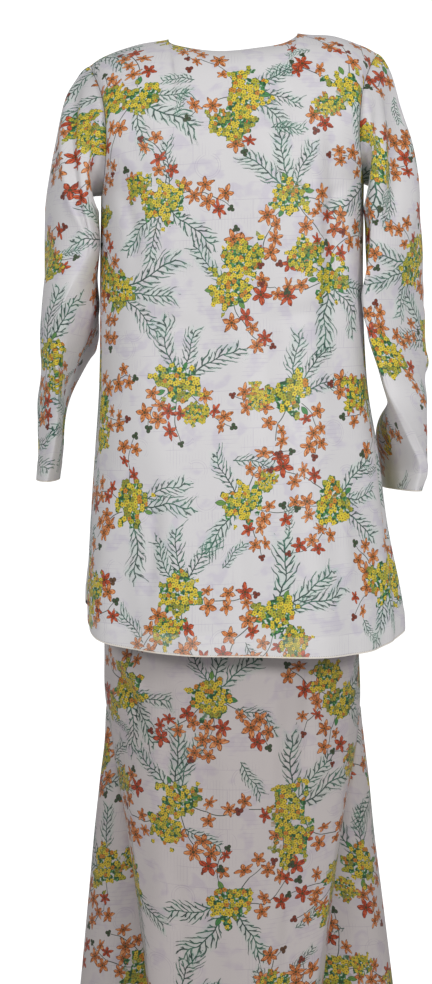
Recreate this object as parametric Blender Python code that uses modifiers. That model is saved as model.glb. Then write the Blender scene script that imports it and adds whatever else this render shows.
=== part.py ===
"""Baju kurung: a long-sleeved tunic over a long flared skirt, in the pose it has when worn.

The cloth is a thin wall. Every piece is a loft through sections that are worked out from the sizes
below. Distances are metres, +Z is up and -Y is the garment's back. The origin lies between the two
points where the shoulder seams meet the neck; a drop is a distance below that level.
"""

import math
from collections import namedtuple

import bmesh
import bpy
import numpy as np
from mathutils import Matrix, Vector

CLOTH = 0.0016
BAND_CLOTH = 0.0024
SEAM_GAP = 0.00046
ARMHOLE_GAP = 0.00060

# Tunic: neck, shoulders, armholes and hem
NECK_HALF_WIDTH = 0.090
BACK_NECK_DROP = 0.030
BACK_NECK_DEPTH = 0.058
FRONT_NECK_DROP = 0.082
FRONT_NECK_DEPTH = 0.066
SHOULDER_HALF_WIDTH = 0.202
SHOULDER_TILT = 0.045
TILT_FADES_FROM = 0.25
TILT_FADES_TO = 0.60
ARMPIT_DROP = 0.215
HEM_DROP = 0.840
HEM_LEAN = 0.006
HEM_RISE_LEFT = 0.046
HEM_RISE_LEFT_WIDTH = 24.0
HEM_RISE_RIGHT = 0.026
HEM_RISE_RIGHT_WIDTH = 26.0
SQUARENESS = 2.4
SHOULDER_ROUNDNESS = 3.2

# Front neck slit, its shanked button and the cord loop that goes round the shank. The head's
# outline is in shares of its radius and height.
SLIT_LENGTH = 0.095
SLIT_HALF_GAP = 0.0022
BUTTON_BELOW_NECK = 0.009
BUTTON_ACROSS = 0.0075
BUTTON_RADIUS = 0.0055
BUTTON_SHANK_RADIUS = 0.0020
BUTTON_SHANK_HEIGHT = 0.0026
BUTTON_HEAD_HEIGHT = 0.0040
BUTTON_SEAT = 0.0004
BUTTON_STEPS = 20
BUTTON_HEAD = ((0.75, 0.00), (1.00, 0.30), (0.85, 0.72), (0.45, 0.95), (0.00, 1.00))
LOOP_CORD_RADIUS = 0.0008
LOOP_SEAT = 0.0004
LOOP_ROOM = 0.0005
LOOP_REACH = 0.0060
LOOP_TURN_POINTS = 9
LOOP_BEVEL_RESOLUTION = 1

# Skirt: waistband, side seams and the flared inserts below the knee
WAIST_DROP = 0.385
WAISTBAND_HEIGHT = 0.035
FLARE_DROP = 0.930
FLARE_STEP = 0.008
SKIRT_DROP = 1.370
SKIRT_EDGE_ANGLE = 70.0

# How finely each stretch of cloth is divided
NECK_COLUMNS = 4
SIDE_COLUMNS = 7
ARMHOLE_ROWS = 9
ARMHOLE_CROWDING = 1.25
BODY_ROWS = 11
GORE_COLUMNS = 4
CAP_ROWS = 6
SLEEVE_ROWS = 14
SKIRT_ARC_COLUMNS = 7
SKIRT_WALL_COLUMNS = 3
INSERT_COLUMNS = 8
HIP_ROWS = 7
FLARE_ROWS = 8

# The tunic below the armpits: half widths, depths behind and before the side line, half a side gore
Body = namedtuple("Body", "drop left right back front gore")
BODY = (
    Body(0.215, 0.1840, 0.1830, 0.120, 0.124, 0.012),
    Body(0.260, 0.1845, 0.1825, 0.121, 0.130, 0.016),
    Body(0.340, 0.1850, 0.1815, 0.118, 0.128, 0.023),
    Body(0.420, 0.1855, 0.1830, 0.118, 0.124, 0.030),
    Body(0.500, 0.1870, 0.1880, 0.127, 0.126, 0.037),
    Body(0.580, 0.1920, 0.2010, 0.141, 0.132, 0.044),
    Body(0.650, 0.1970, 0.2095, 0.151, 0.139, 0.050),
    Body(0.720, 0.2015, 0.2190, 0.160, 0.147, 0.057),
    Body(0.770, 0.2045, 0.2265, 0.166, 0.153, 0.062),
    Body(0.810, 0.2040, 0.2315, 0.170, 0.157, 0.067),
    Body(0.845, 0.2030, 0.2320, 0.174, 0.161, 0.071),
)

# The middle of the back and of the front above the armpits, before the shoulders round them off
Chest = namedtuple("Chest", "drop back front")
CHEST = (
    Chest(0.020, 0.088, 0.074),
    Chest(0.060, 0.099, 0.086),
    Chest(0.110, 0.112, 0.101),
    Chest(0.160, 0.119, 0.115),
    Chest(0.215, 0.120, 0.124),
)

# An armhole's edge, from the armpit (0) up to the shoulder point (1)
Armhole = namedtuple("Armhole", "up back_x back_y front_x front_y")
ARMHOLE = (
    Armhole(0.00, 0.1824, 0.0120, 0.1824, 0.0120),
    Armhole(0.15, 0.1765, 0.0450, 0.1730, 0.0480),
    Armhole(0.33, 0.1730, 0.0650, 0.1640, 0.0700),
    Armhole(0.50, 0.1735, 0.0710, 0.1610, 0.0760),
    Armhole(0.70, 0.1790, 0.0610, 0.1690, 0.0640),
    Armhole(0.87, 0.1900, 0.0360, 0.1860, 0.0380),
    Armhole(1.00, 0.2020, 0.0000, 0.2020, 0.0000),
)

# The shoulder line, from the neck out to the shoulder point
Shoulder = namedtuple("Shoulder", "x drop")
SHOULDER = (
    Shoulder(0.090, 0.000),
    Shoulder(0.110, 0.003),
    Shoulder(0.140, 0.009),
    Shoulder(0.170, 0.018),
    Shoulder(0.190, 0.026),
    Shoulder(0.202, 0.033),
)

# Soft folds of the tunic: where they lie round the body (back -90, right 0), how wide and how deep
Fold = namedtuple("Fold", "angle width depth start full drift")
TUNIC_FOLDS = (
    Fold(-47, 9, -0.0060, 0.20, 0.28, 0),
    Fold(-63, 9, 0.0050, 0.45, 0.75, 6),
    Fold(-84, 10, -0.0050, 0.50, 0.85, 4),
    Fold(-104, 9, 0.0045, 0.55, 0.85, -4),
    Fold(-128, 10, -0.0060, 0.50, 0.80, -6),
    Fold(-148, 8, 0.0050, 0.60, 0.85, 0),
    Fold(-33, 7, -0.0055, 0.62, 0.85, 4),
    Fold(-12, 6, 0.0070, 0.66, 0.80, 0),
    Fold(10, 8, -0.0080, 0.60, 0.82, 0),
    Fold(168, 6, 0.0070, 0.66, 0.82, 0),
    Fold(-170, 6, -0.0060, 0.68, 0.84, 0),
    Fold(50, 10, 0.0060, 0.50, 0.80, 4),
    Fold(75, 10, -0.0060, 0.50, 0.85, 0),
    Fold(105, 10, 0.0060, 0.50, 0.85, 0),
    Fold(132, 10, -0.0060, 0.50, 0.85, -4),
)

# A sleeve below its cap: its centre, half its flat width, how far its wall bulges away from the
# body and towards it, and the turn of its back crease from straight back towards the body
Sleeve = namedtuple("Sleeve", "drop x y major outer inner turn")
LEFT_SLEEVE = (
    Sleeve(0.250, 0.2212, 0.002, 0.078, 0.0410, 0.0310, 15),
    Sleeve(0.300, 0.2200, 0.002, 0.077, 0.0425, 0.0300, 18),
    Sleeve(0.345, 0.2225, 0.003, 0.076, 0.0430, 0.0330, 5),
    Sleeve(0.385, 0.2225, 0.005, 0.074, 0.0420, 0.0325, -9),
    Sleeve(0.425, 0.2210, 0.009, 0.072, 0.0440, 0.0180, -17),
    Sleeve(0.467, 0.2295, 0.018, 0.068, 0.0370, 0.0080, -10),
    Sleeve(0.505, 0.2400, 0.028, 0.065, 0.0330, 0.0060, -2),
    Sleeve(0.546, 0.2500, 0.041, 0.062, 0.0270, 0.0090, 5),
    Sleeve(0.585, 0.2560, 0.053, 0.059, 0.0215, 0.0120, 4),
    Sleeve(0.625, 0.2620, 0.064, 0.057, 0.0190, 0.0120, 0),
)
RIGHT_SLEEVE = (
    Sleeve(0.250, 0.2168, 0.002, 0.078, 0.0410, 0.0280, 21),
    Sleeve(0.300, 0.2200, 0.001, 0.077, 0.0400, 0.0280, 26),
    Sleeve(0.372, 0.2243, -0.001, 0.078, 0.0240, 0.0200, 37),
    Sleeve(0.420, 0.2293, -0.002, 0.074, 0.0200, 0.0200, 36),
    Sleeve(0.467, 0.2365, -0.002, 0.070, 0.0230, 0.0180, 30),
    Sleeve(0.503, 0.2280, 0.000, 0.068, 0.0430, 0.0110, 13),
    Sleeve(0.535, 0.2210, 0.003, 0.065, 0.0500, 0.0080, -6),
    Sleeve(0.566, 0.2245, 0.007, 0.062, 0.0455, 0.0070, -17),
    Sleeve(0.600, 0.2340, 0.012, 0.060, 0.0300, 0.0090, -23),
    Sleeve(0.635, 0.2340, 0.018, 0.058, 0.0240, 0.0110, -18),
)
CREASE_ALONG = 0.92
CREASE_ACROSS = 1.25
CAP_LEAVES_OUT = 0.095
CAP_LEAVES_DOWN = 0.050
CAP_ARRIVES = 0.150
CAP_ARRIVES_BELOW = 0.25

# The deep fold behind each sleeve cap: it runs from near the shoulder point down to the armpit
CAP_FOLD_DEPTH = 0.006
CAP_FOLD_WIDTH = 0.075
CAP_FOLD_FROM = 0.40
CAP_FOLD_TO = 0.14
CAP_FOLD_SIDEWAYS = 0.5

# The skirt: half widths, depths, and, as shares of those, the fold edge and the valley behind it
Skirt = namedtuple("Skirt", "drop left right back front edge_x edge_y valley_x valley_y")
SKIRT = (
    Skirt(0.385, 0.1340, 0.1340, 0.1040, 0.1040, 0.940, 0.342, 1.000, 0.000),
    Skirt(0.420, 0.1360, 0.1360, 0.1060, 0.1050, 0.940, 0.342, 1.000, 0.000),
    Skirt(0.500, 0.1600, 0.1600, 0.1180, 0.1120, 0.940, 0.342, 1.000, 0.000),
    Skirt(0.600, 0.1740, 0.1740, 0.1428, 0.1180, 0.940, 0.342, 1.000, 0.000),
    Skirt(0.720, 0.1770, 0.1760, 0.1340, 0.1190, 0.940, 0.342, 1.000, 0.000),
    Skirt(0.860, 0.1790, 0.1765, 0.1300, 0.1200, 0.940, 0.342, 1.000, 0.000),
    Skirt(0.930, 0.1775, 0.1780, 0.1310, 0.1220, 0.940, 0.345, 1.000, 0.000),
    Skirt(0.980, 0.1785, 0.1845, 0.1370, 0.1260, 0.845, 0.520, 0.930, 0.180),
    Skirt(1.040, 0.1860, 0.1920, 0.1450, 0.1330, 0.765, 0.640, 0.830, 0.290),
    Skirt(1.110, 0.1940, 0.1985, 0.1550, 0.1420, 0.680, 0.740, 0.735, 0.345),
    Skirt(1.190, 0.2010, 0.2080, 0.1650, 0.1520, 0.590, 0.810, 0.650, 0.380),
    Skirt(1.290, 0.2100, 0.2200, 0.1770, 0.1640, 0.490, 0.860, 0.560, 0.400),
    Skirt(1.370, 0.2190, 0.2290, 0.1860, 0.1730, 0.420, 0.885, 0.505, 0.405),
)
SKIRT_FOLDS = (
    Fold(-118, 9, 0.0045, 0.80, 1.05, 0),
    Fold(-70, 10, -0.0050, 0.90, 1.15, 0),
    Fold(-98, 9, -0.0040, 0.95, 1.25, 0),
    Fold(72, 10, 0.0050, 0.85, 1.10, 0),
    Fold(100, 10, -0.0050, 0.85, 1.15, 0),
)

CLOTH_COLOUR = (0.80, 0.78, 0.79, 1.0)
BUTTON_COLOUR = (0.74, 0.70, 0.66, 1.0)
CLOTH_ROUGHNESS = 0.55
BUTTON_ROUGHNESS = 0.30
SHARP_ANGLE = 40


def smooth(table, column, x):
    """The named column of a table at x, on a smooth curve through its rows."""
    keys = np.array([row[0] for row in table])
    values = np.array([getattr(row, column) for row in table])
    slopes = np.gradient(values, keys)
    x = np.clip(x, keys[0], keys[-1])
    low = np.clip(np.searchsorted(keys, x, side="right") - 1, 0, len(keys) - 2)
    span = keys[low + 1] - keys[low]
    t = (x - keys[low]) / span
    along = values[low] * (1 + 2 * t) * (1 - t) ** 2 + values[low + 1] * t * t * (3 - 2 * t)
    return along + span * t * (1 - t) * (slopes[low] * (1 - t) - slopes[low + 1] * t)


def ease(x, start, full):
    """0 before start, 1 after full, and a soft step between them."""
    t = np.clip((x - start) / (full - start), 0.0, 1.0)
    return t * t * (3 - 2 * t)


def superellipse(share):
    """The other coordinate of a unit superellipse."""
    return (1 - np.clip(np.abs(share), 0, 1) ** SQUARENESS) ** (1 / SQUARENESS)


def fold_height(folds, angle, drop):
    """How far the soft folds lift the cloth at an angle round the body, in degrees."""
    lift = np.zeros(np.broadcast(angle, drop).shape)
    for fold in folds:
        away = angle - fold.angle - fold.drift * (drop - fold.start)
        away = (away + 180) % 360 - 180
        lift += fold.depth * np.exp(-((away / fold.width) ** 2)) * ease(drop, fold.start, fold.full)
    return lift


def folded(points, folds, half, depth):
    """Points of a body ring moved out or in by the soft folds."""
    across = points[..., 0] / half
    along = points[..., 1] / depth
    angle = np.degrees(np.arctan2(along, across))
    lift = fold_height(folds, angle, -points[..., 2])
    length = np.hypot(across, along)
    moved = points.copy()
    moved[..., 0] += lift * across / length
    moved[..., 1] += lift * along / length
    return moved


def tilted(points):
    """The tunic's shoulders lean a little to its left, and its hem hangs level."""
    drop = -points[..., 2]
    moved = points.copy()
    moved[..., 2] += SHOULDER_TILT * points[..., 0] * (1 - ease(drop, TILT_FADES_FROM, TILT_FADES_TO))
    return moved


def seam_share(drop, depth):
    """A panel's half width at its gore seam, as a share of the body's half width."""
    return superellipse(smooth(BODY, "gore", drop) / depth)


def body_half(share, drop):
    """The body's half width on the side that the share's sign says."""
    return np.where(share < 0, smooth(BODY, "left", drop), smooth(BODY, "right", drop))


def hem_drop(angle):
    """The hem's level round the body. It rises at the sides and leans down to the right."""
    to_left = ((angle + 360) % 360 - 180) / HEM_RISE_LEFT_WIDTH
    to_right = ((angle + 180) % 360 - 180) / HEM_RISE_RIGHT_WIDTH
    rise = HEM_RISE_LEFT * np.exp(-(to_left**2)) + HEM_RISE_RIGHT * np.exp(-(to_right**2))
    return HEM_DROP + HEM_LEAN * np.cos(np.radians(angle)) - rise


def panel_columns(slit):
    """Where a panel's columns lie across it, from -1 to 1, with one at each neck corner."""
    corner = NECK_HALF_WIDTH / SHOULDER_HALF_WIDTH
    neck = [corner * i / NECK_COLUMNS for i in range(NECK_COLUMNS)]
    if slit:
        neck[0] = SLIT_HALF_GAP / SHOULDER_HALF_WIDTH
    start = math.asin(corner)
    side = [
        math.sin(start + (math.pi / 2 - start) * i / SIDE_COLUMNS)
        for i in range(SIDE_COLUMNS + 1)
    ]
    half = neck + side
    first = 0 if slit else 1
    return np.array([-x for x in reversed(half[first:])] + half)


def lower_panel(columns, rows, facing):
    """The panel between the armpits and the hem. facing is -1 for the back and 1 for the front."""
    side = "back" if facing < 0 else "front"
    share = np.broadcast_to(columns, (len(rows), len(columns)))
    at_hem = share * seam_share(HEM_DROP, smooth(BODY, side, HEM_DROP))
    angle = np.degrees(np.arctan2(facing * superellipse(at_hem), at_hem))
    drop = ARMPIT_DROP + (hem_drop(angle) - ARMPIT_DROP) * rows[:, None]
    depth = smooth(BODY, side, drop)
    across = share * seam_share(drop, depth)
    half = body_half(share, drop)
    points = np.stack([half * across, facing * depth * superellipse(across), -drop], axis=-1)
    return folded(points, TUNIC_FOLDS, half, depth)


def upper_panel(columns, rows, facing):
    """The panel above the armpits, up to the shoulder line and the neck."""
    side = "back" if facing < 0 else "front"
    up = rows[:, None]
    share = np.broadcast_to(columns, (len(rows), len(columns)))
    half = smooth(ARMHOLE, side + "_x", up)
    edge = smooth(ARMHOLE, side + "_y", up)
    top_x = np.abs(share) * SHOULDER_HALF_WIDTH
    neck_arc = np.sqrt(np.clip(1 - (top_x / NECK_HALF_WIDTH) ** 2, 0, 1))
    neck_drop, neck_depth = (
        (BACK_NECK_DROP, BACK_NECK_DEPTH) if facing < 0 else (FRONT_NECK_DROP, FRONT_NECK_DEPTH)
    )
    top_drop = smooth(SHOULDER, "drop", top_x) + neck_drop * neck_arc
    drop = ARMPIT_DROP + (top_drop - ARMPIT_DROP) * up
    depth_at_armpit = smooth(BODY, side, ARMPIT_DROP)
    seam = seam_share(ARMPIT_DROP, depth_at_armpit)
    low = superellipse(seam)
    bulge = (superellipse(share * seam) - low) / (1 - low)
    rounding = np.sqrt(1 - up**SHOULDER_ROUNDNESS)
    middle = smooth(CHEST, side, drop)
    depth = edge + (middle - edge) * bulge * rounding + neck_depth * neck_arc * (1 - rounding)
    points = np.stack([share * half, facing * depth, -drop], axis=-1)
    return folded(points, TUNIC_FOLDS, SHOULDER_HALF_WIDTH, middle)


def armhole_rows():
    """Shares of the way up from the armpit, closer together near the shoulder."""
    return 1 - (1 - np.linspace(0, 1, ARMHOLE_ROWS + 1)) ** ARMHOLE_CROWDING


def body_panel(facing):
    """A whole back or front panel, from its hem up."""
    columns = panel_columns(slit=facing > 0)
    lower = lower_panel(columns, np.linspace(1, 0, BODY_ROWS + 1), facing)
    upper = upper_panel(columns, armhole_rows(), facing)
    return tilted(np.concatenate([lower[:-1], upper]))


def side_gore(side):
    """The gore between the panels at one side, from its hem up. side is -1 for the left."""
    rows = np.linspace(1, 0, BODY_ROWS + 1)[:, None]
    place = np.linspace(-1, 1, GORE_COLUMNS + 1)[None, :]
    depth = np.where(place < 0, smooth(BODY, "back", HEM_DROP), smooth(BODY, "front", HEM_DROP))
    at_hem = place * smooth(BODY, "gore", HEM_DROP) / depth
    angle = np.degrees(np.arctan2(at_hem, side * superellipse(at_hem)))
    drop = ARMPIT_DROP + (hem_drop(angle) - ARMPIT_DROP) * rows
    depth = np.where(place < 0, smooth(BODY, "back", drop), smooth(BODY, "front", drop))
    along = place * smooth(BODY, "gore", drop) / depth
    half = body_half(np.full_like(drop, side), drop)
    points = np.stack([side * half * superellipse(along), depth * along, -drop], axis=-1)
    return tilted(folded(points, TUNIC_FOLDS, half, depth))


def matched_gore(side, back, front):
    """A side gore whose edges are the panels' own seam points."""
    points = side_gore(side)
    column = -1 if side > 0 else 0
    points[:, 0] = back[: BODY_ROWS + 1, column]
    points[:, -1] = front[: BODY_ROWS + 1, column]
    return points


def armhole_loop(side, back, front, gore):
    """The armhole's points, from the middle of the gore's top, up the back and down the front."""
    column = -1 if side > 0 else 0
    middle = GORE_COLUMNS // 2
    up_back = back[BODY_ROWS:, column]
    down_front = front[BODY_ROWS:, column][::-1]
    return np.concatenate([gore[-1, middle:0:-1], up_back, down_front[1:], gore[-1, -2:middle:-1]])


def sleeve_ring(table, side, drop, around):
    """A sleeve's section at a drop: a flattened ring with a crease at its back and its front."""
    value = {name: smooth(table, name, drop) for name in Sleeve._fields[1:]}
    turn = np.radians(value["turn"])
    back_x, back_y = -side * np.sin(turn), -np.cos(turn)
    out_x, out_y = side * np.cos(turn), -np.sin(turn)
    sine, cosine = np.sin(2 * np.pi * around), -np.cos(2 * np.pi * around)
    along = value["major"] * np.sign(sine) * np.abs(sine) ** CREASE_ALONG
    bulge = np.where(cosine > 0, value["outer"], value["inner"])
    across = bulge * np.sign(cosine) * np.abs(cosine) ** CREASE_ACROSS
    x = side * value["x"] + along * back_x + across * out_x
    y = value["y"] + along * back_y + across * out_y
    return np.stack([x, y, np.full_like(x, -drop)], axis=-1)


def sleeve_cap(loop, ring, side, around):
    """The stretch from the armhole to the sleeve's first full section."""
    top = 0.5 - 0.5 * np.cos(2 * np.pi * around)
    steep = (CAP_ARRIVES_BELOW + (1 - CAP_ARRIVES_BELOW) * top)[:, None]
    leave = np.stack(
        [side * CAP_LEAVES_OUT * np.ones_like(top), 0 * top, -CAP_LEAVES_DOWN * top], axis=-1
    )
    arrive = np.array([0.0, 0.0, -CAP_ARRIVES])
    rows = []
    for i in range(CAP_ROWS):
        t = i / CAP_ROWS
        line = loop * (1 + 2 * t) * (1 - t) ** 2 + ring * t * t * (3 - 2 * t)
        bend = leave * (1 - t) - arrive * steep * t
        row = line + t * (1 - t) * bend
        valley = CAP_FOLD_FROM + (CAP_FOLD_TO - CAP_FOLD_FROM) * t
        across = (around - valley) / CAP_FOLD_WIDTH
        dent = CAP_FOLD_DEPTH * np.exp(-(across**2)) * math.sin(math.pi * t)
        row[:, 0] -= CAP_FOLD_SIDEWAYS * side * dent
        row[:, 1] += dent
        rows.append(row)
    return rows


def sleeve(table, side, loop):
    """A whole sleeve, from the armhole down to the cuff."""
    around = np.arange(len(loop)) / len(loop)
    drops = np.linspace(table[0].drop, table[-1].drop, SLEEVE_ROWS + 1)
    rings = [sleeve_ring(table, side, drop, around) for drop in drops]
    return np.array(sleeve_cap(loop, rings[0], side, around) + rings)


def skirt_half(side, drop):
    """The skirt's half width at one side."""
    return smooth(SKIRT, "left" if side < 0 else "right", drop)


def skirt_quarter(side, facing, drop):
    """From the middle of the back or front, past the fold's edge, to the valley behind it."""
    half = skirt_half(side, drop)
    depth = smooth(SKIRT, "back" if facing < 0 else "front", drop)
    edge_x, edge_y = smooth(SKIRT, "edge_x", drop), smooth(SKIRT, "edge_y", drop)
    valley_x, valley_y = smooth(SKIRT, "valley_x", drop), smooth(SKIRT, "valley_y", drop)
    last = math.radians(SKIRT_EDGE_ANGLE)
    turn = np.linspace(0, last, SKIRT_ARC_COLUMNS + 1)
    arc_x = edge_x * np.sin(turn) / math.sin(last)
    arc_y = 1 - (1 - edge_y) * (1 - np.cos(turn)) / (1 - math.cos(last))
    step = np.linspace(0, 1, SKIRT_WALL_COLUMNS + 1)[1:]
    wall_x = edge_x + (valley_x - edge_x) * np.sin(step * math.pi / 2)
    wall_y = edge_y + (valley_y - edge_y) * step
    x, y = np.concatenate([arc_x, wall_x]), np.concatenate([arc_y, wall_y])
    points = np.stack([side * half * x, facing * depth * y, np.full_like(x, -drop)], axis=-1)
    return folded(points, SKIRT_FOLDS, half, depth)


def skirt_drops():
    """The levels of the skirt's rows, from the waistband's lower edge to the hem."""
    top = WAIST_DROP + WAISTBAND_HEIGHT
    hip = np.linspace(top, FLARE_DROP, HIP_ROWS + 1)
    flare = np.linspace(FLARE_DROP + FLARE_STEP, SKIRT_DROP, FLARE_ROWS + 1)
    return np.concatenate([hip, flare])


def skirt_panel(facing):
    """A whole skirt panel, from its hem up."""
    rows = []
    for drop in skirt_drops()[::-1]:
        left = skirt_quarter(-1, facing, drop)[::-1]
        rows.append(np.concatenate([left[:-1], skirt_quarter(1, facing, drop)]))
    return np.array(rows)


def skirt_insert(side, back, front):
    """The flared insert at one side, a rounded flute between the two panels' valleys."""
    column = -1 if side > 0 else 0
    rows = []
    drops = skirt_drops()[::-1][: FLARE_ROWS + 1]
    for i, drop in enumerate(drops):
        start, end = back[i, column], front[i, column]
        tip = side * skirt_half(side, drop)
        turn = np.linspace(-math.pi / 2, math.pi / 2, INSERT_COLUMNS + 1)
        base = np.where(turn < 0, start[0], end[0])
        reach = np.where(turn < 0, -start[1], end[1])
        x = base + (tip - base) * np.cos(turn)
        rows.append(np.stack([x, reach * np.sin(turn), np.full_like(x, -drop)], axis=-1))
        rows[-1][0], rows[-1][-1] = start, end
    return np.array(rows)


def waist_ring(back, front, drop, bottom):
    """A closed ring at the waist that follows the skirt's upper edge."""
    ring = np.concatenate([back[-1], front[-1][::-1][1:-1]])
    scale_x = skirt_half(1, drop) / skirt_half(1, bottom)
    scale_y = smooth(SKIRT, "back", drop) / smooth(SKIRT, "back", bottom)
    return ring * (scale_x, scale_y, 0) + (0, 0, -drop)


def waistband(back, front):
    """The band round the waist, from its lower edge up."""
    bottom = WAIST_DROP + WAISTBAND_HEIGHT
    return np.array([waist_ring(back, front, drop, bottom) for drop in (bottom, WAIST_DROP)])


class Piece:
    """One piece of cloth: its grid of outer points and which of its edges are sewn.

    A hole is (first row, column): the cells of that column are left open from that row up.
    """

    def __init__(self, name, points, sewn, closed=False, hole=None, cloth=CLOTH, seam=SEAM_GAP / 2):
        self.name, self.points, self.sewn = name, points, sewn
        self.closed, self.hole, self.cloth, self.seam = closed, hole, cloth, seam

    def cells(self):
        """The grid's cells as corner indices, running so that they face out."""
        rows, columns = self.points.shape[:2]
        index = np.arange(rows * columns).reshape(rows, columns)
        after = np.roll(index, -1, axis=1)
        if not self.closed:
            index, after = index[:, :-1], after[:, :-1]
        cells = np.stack([index[:-1], after[:-1], after[1:], index[1:]], axis=-1)
        if self.hole:
            keep = np.ones(cells.shape[:2], bool)
            keep[self.hole[0] :, self.hole[1]] = False
            cells = cells[keep]
        cells = cells.reshape(-1, 4)
        corners = self.points.reshape(-1, 3)[cells]
        facing = np.cross(corners[:, 2] - corners[:, 0], corners[:, 3] - corners[:, 1])
        middle = self.points.mean(axis=1, keepdims=True) if self.closed else np.zeros(3)
        away = (self.points - middle).reshape(-1, 3)[cells].mean(axis=1) * (1, 1, 0)
        return cells if (facing * away).sum() > 0 else cells[:, ::-1]

    def triangles(self):
        """Each cell as two triangles that meet along its shorter diagonal."""
        cells = self.cells()
        a, b, c, d = (self.points.reshape(-1, 3)[cells[:, i]] for i in range(4))
        turned = np.linalg.norm(b - d, axis=1) < np.linalg.norm(a - c, axis=1)
        cells = np.where(turned[:, None], np.roll(cells, -1, axis=1), cells)
        return np.concatenate([cells[:, [0, 1, 2]], cells[:, [0, 2, 3]]])


def shared_normals(pieces):
    """Each piece's normals, averaged with its neighbours' where points meet at a seam."""
    places = np.concatenate([piece.points.reshape(-1, 3) for piece in pieces])
    _, shared = np.unique(np.round(places, 6), axis=0, return_inverse=True)
    shared = shared.reshape(-1)
    total = np.zeros((shared.max() + 1, 3))
    start = 0
    for piece in pieces:
        cells = piece.cells()
        corners = piece.points.reshape(-1, 3)[cells]
        facing = np.cross(corners[:, 2] - corners[:, 0], corners[:, 3] - corners[:, 1])
        facing /= np.linalg.norm(facing, axis=1, keepdims=True)
        for corner in range(4):
            np.add.at(total, shared[cells[:, corner] + start], facing)
        start += piece.points.shape[0] * piece.points.shape[1]
    total /= np.maximum(np.linalg.norm(total, axis=1, keepdims=True), 1e-12)
    normals, start = {}, 0
    for piece in pieces:
        count = piece.points.shape[0] * piece.points.shape[1]
        normals[piece.name] = total[shared[start : start + count]].reshape(piece.points.shape)
        start += count
    return normals


def drawn_back(points, sewn, seam):
    """Points whose sewn edges stand back from the seam, square to it."""
    moved = points.copy()
    edges = {
        "bottom": ((0,), (1,)),
        "top": ((-1,), (-2,)),
        "left": ((slice(None), 0), (slice(None), 1)),
        "right": ((slice(None), -1), (slice(None), -2)),
    }
    for name in sewn:
        edge, inner = edges[name]
        along = np.gradient(points[edge], axis=0)
        along /= np.linalg.norm(along, axis=-1, keepdims=True)
        step = points[inner] - points[edge]
        step -= along * (step * along).sum(axis=-1, keepdims=True)
        step /= np.linalg.norm(step, axis=-1, keepdims=True)
        moved[edge] += step * seam
    return moved


def add_wall(piece, normals, collection, material):
    """The piece as a closed wall: its outer points, inner ones a cloth's thickness behind, and rims."""
    behind = piece.points - normals * piece.cloth
    outer = drawn_back(piece.points, piece.sewn, piece.seam).reshape(-1, 3)
    inner = drawn_back(behind, piece.sewn, piece.seam).reshape(-1, 3)
    triangles = piece.triangles()
    count = len(outer)
    edges = {(a, b) for face in triangles for a, b in zip(face, np.roll(face, -1))}
    rims = [(b, a, a + count, b + count) for a, b in sorted(edges) if (b, a) not in edges]
    faces = [tuple(t) for t in triangles] + [tuple(t[::-1] + count) for t in triangles] + rims
    mesh = bpy.data.meshes.new(piece.name)
    mesh.from_pydata(np.concatenate([outer, inner]).tolist(), [], [tuple(map(int, f)) for f in faces])
    shape = bmesh.new()
    shape.from_mesh(mesh)
    loose = [v for v in shape.verts if not v.link_faces]
    bmesh.ops.delete(shape, geom=loose, context="VERTS")
    bmesh.ops.recalc_face_normals(shape, faces=shape.faces)
    shape.to_mesh(mesh)
    shape.free()
    mesh.shade_smooth()
    mesh.set_sharp_from_angle(angle=math.radians(SHARP_ANGLE))
    mesh.materials.append(material)
    obj = bpy.data.objects.new(piece.name, mesh)
    collection.objects.link(obj)
    return obj


def slit_frame(front):
    """Where the button sits: a point on the middle of the front and the frame of the cloth there."""
    column = (front.shape[1] - 1) // 2
    middle = (front[:, column] + front[:, column + 1]) / 2
    drop = FRONT_NECK_DROP + BUTTON_BELOW_NECK
    above = int(np.argmax(-middle[:, 2] < drop))
    up = Vector(middle[above] - middle[above - 1]).normalized()
    right = Vector(front[above, column + 1] - front[above, column]).normalized()
    below = middle[above - 1]
    share = (-drop - below[2]) / (middle[above][2] - below[2])
    place = Vector(below + share * (middle[above] - below))
    out = up.cross(right) if up.cross(right).y > 0 else right.cross(up)
    turn = Matrix((right, out.cross(right), out)).transposed()
    return Matrix.Translation(place) @ turn.to_4x4()


def add_button(frame, collection, material):
    """The neck button: a domed head on a thin shank."""
    head = BUTTON_SEAT + BUTTON_SHANK_HEIGHT
    profile = [(0.0, BUTTON_SEAT), (BUTTON_SHANK_RADIUS, BUTTON_SEAT), (BUTTON_SHANK_RADIUS, head)]
    profile += [(BUTTON_RADIUS * out, head + BUTTON_HEAD_HEIGHT * up) for out, up in BUTTON_HEAD]
    mesh = bpy.data.meshes.new("neck_button")
    links = [(i, i + 1) for i in range(len(profile) - 1)]
    mesh.from_pydata([(x, 0, z) for x, z in profile], links, [])
    mesh.materials.append(material)
    button = bpy.data.objects.new("neck_button", mesh)
    collection.objects.link(button)
    button.matrix_world = frame @ Matrix.Translation((BUTTON_ACROSS, 0, 0))
    screw = button.modifiers.new("Turned", "SCREW")
    screw.steps = screw.render_steps = BUTTON_STEPS
    screw.use_merge_vertices = True
    screw.merge_threshold = 0.00001
    screw.use_normal_calculate = True


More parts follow.
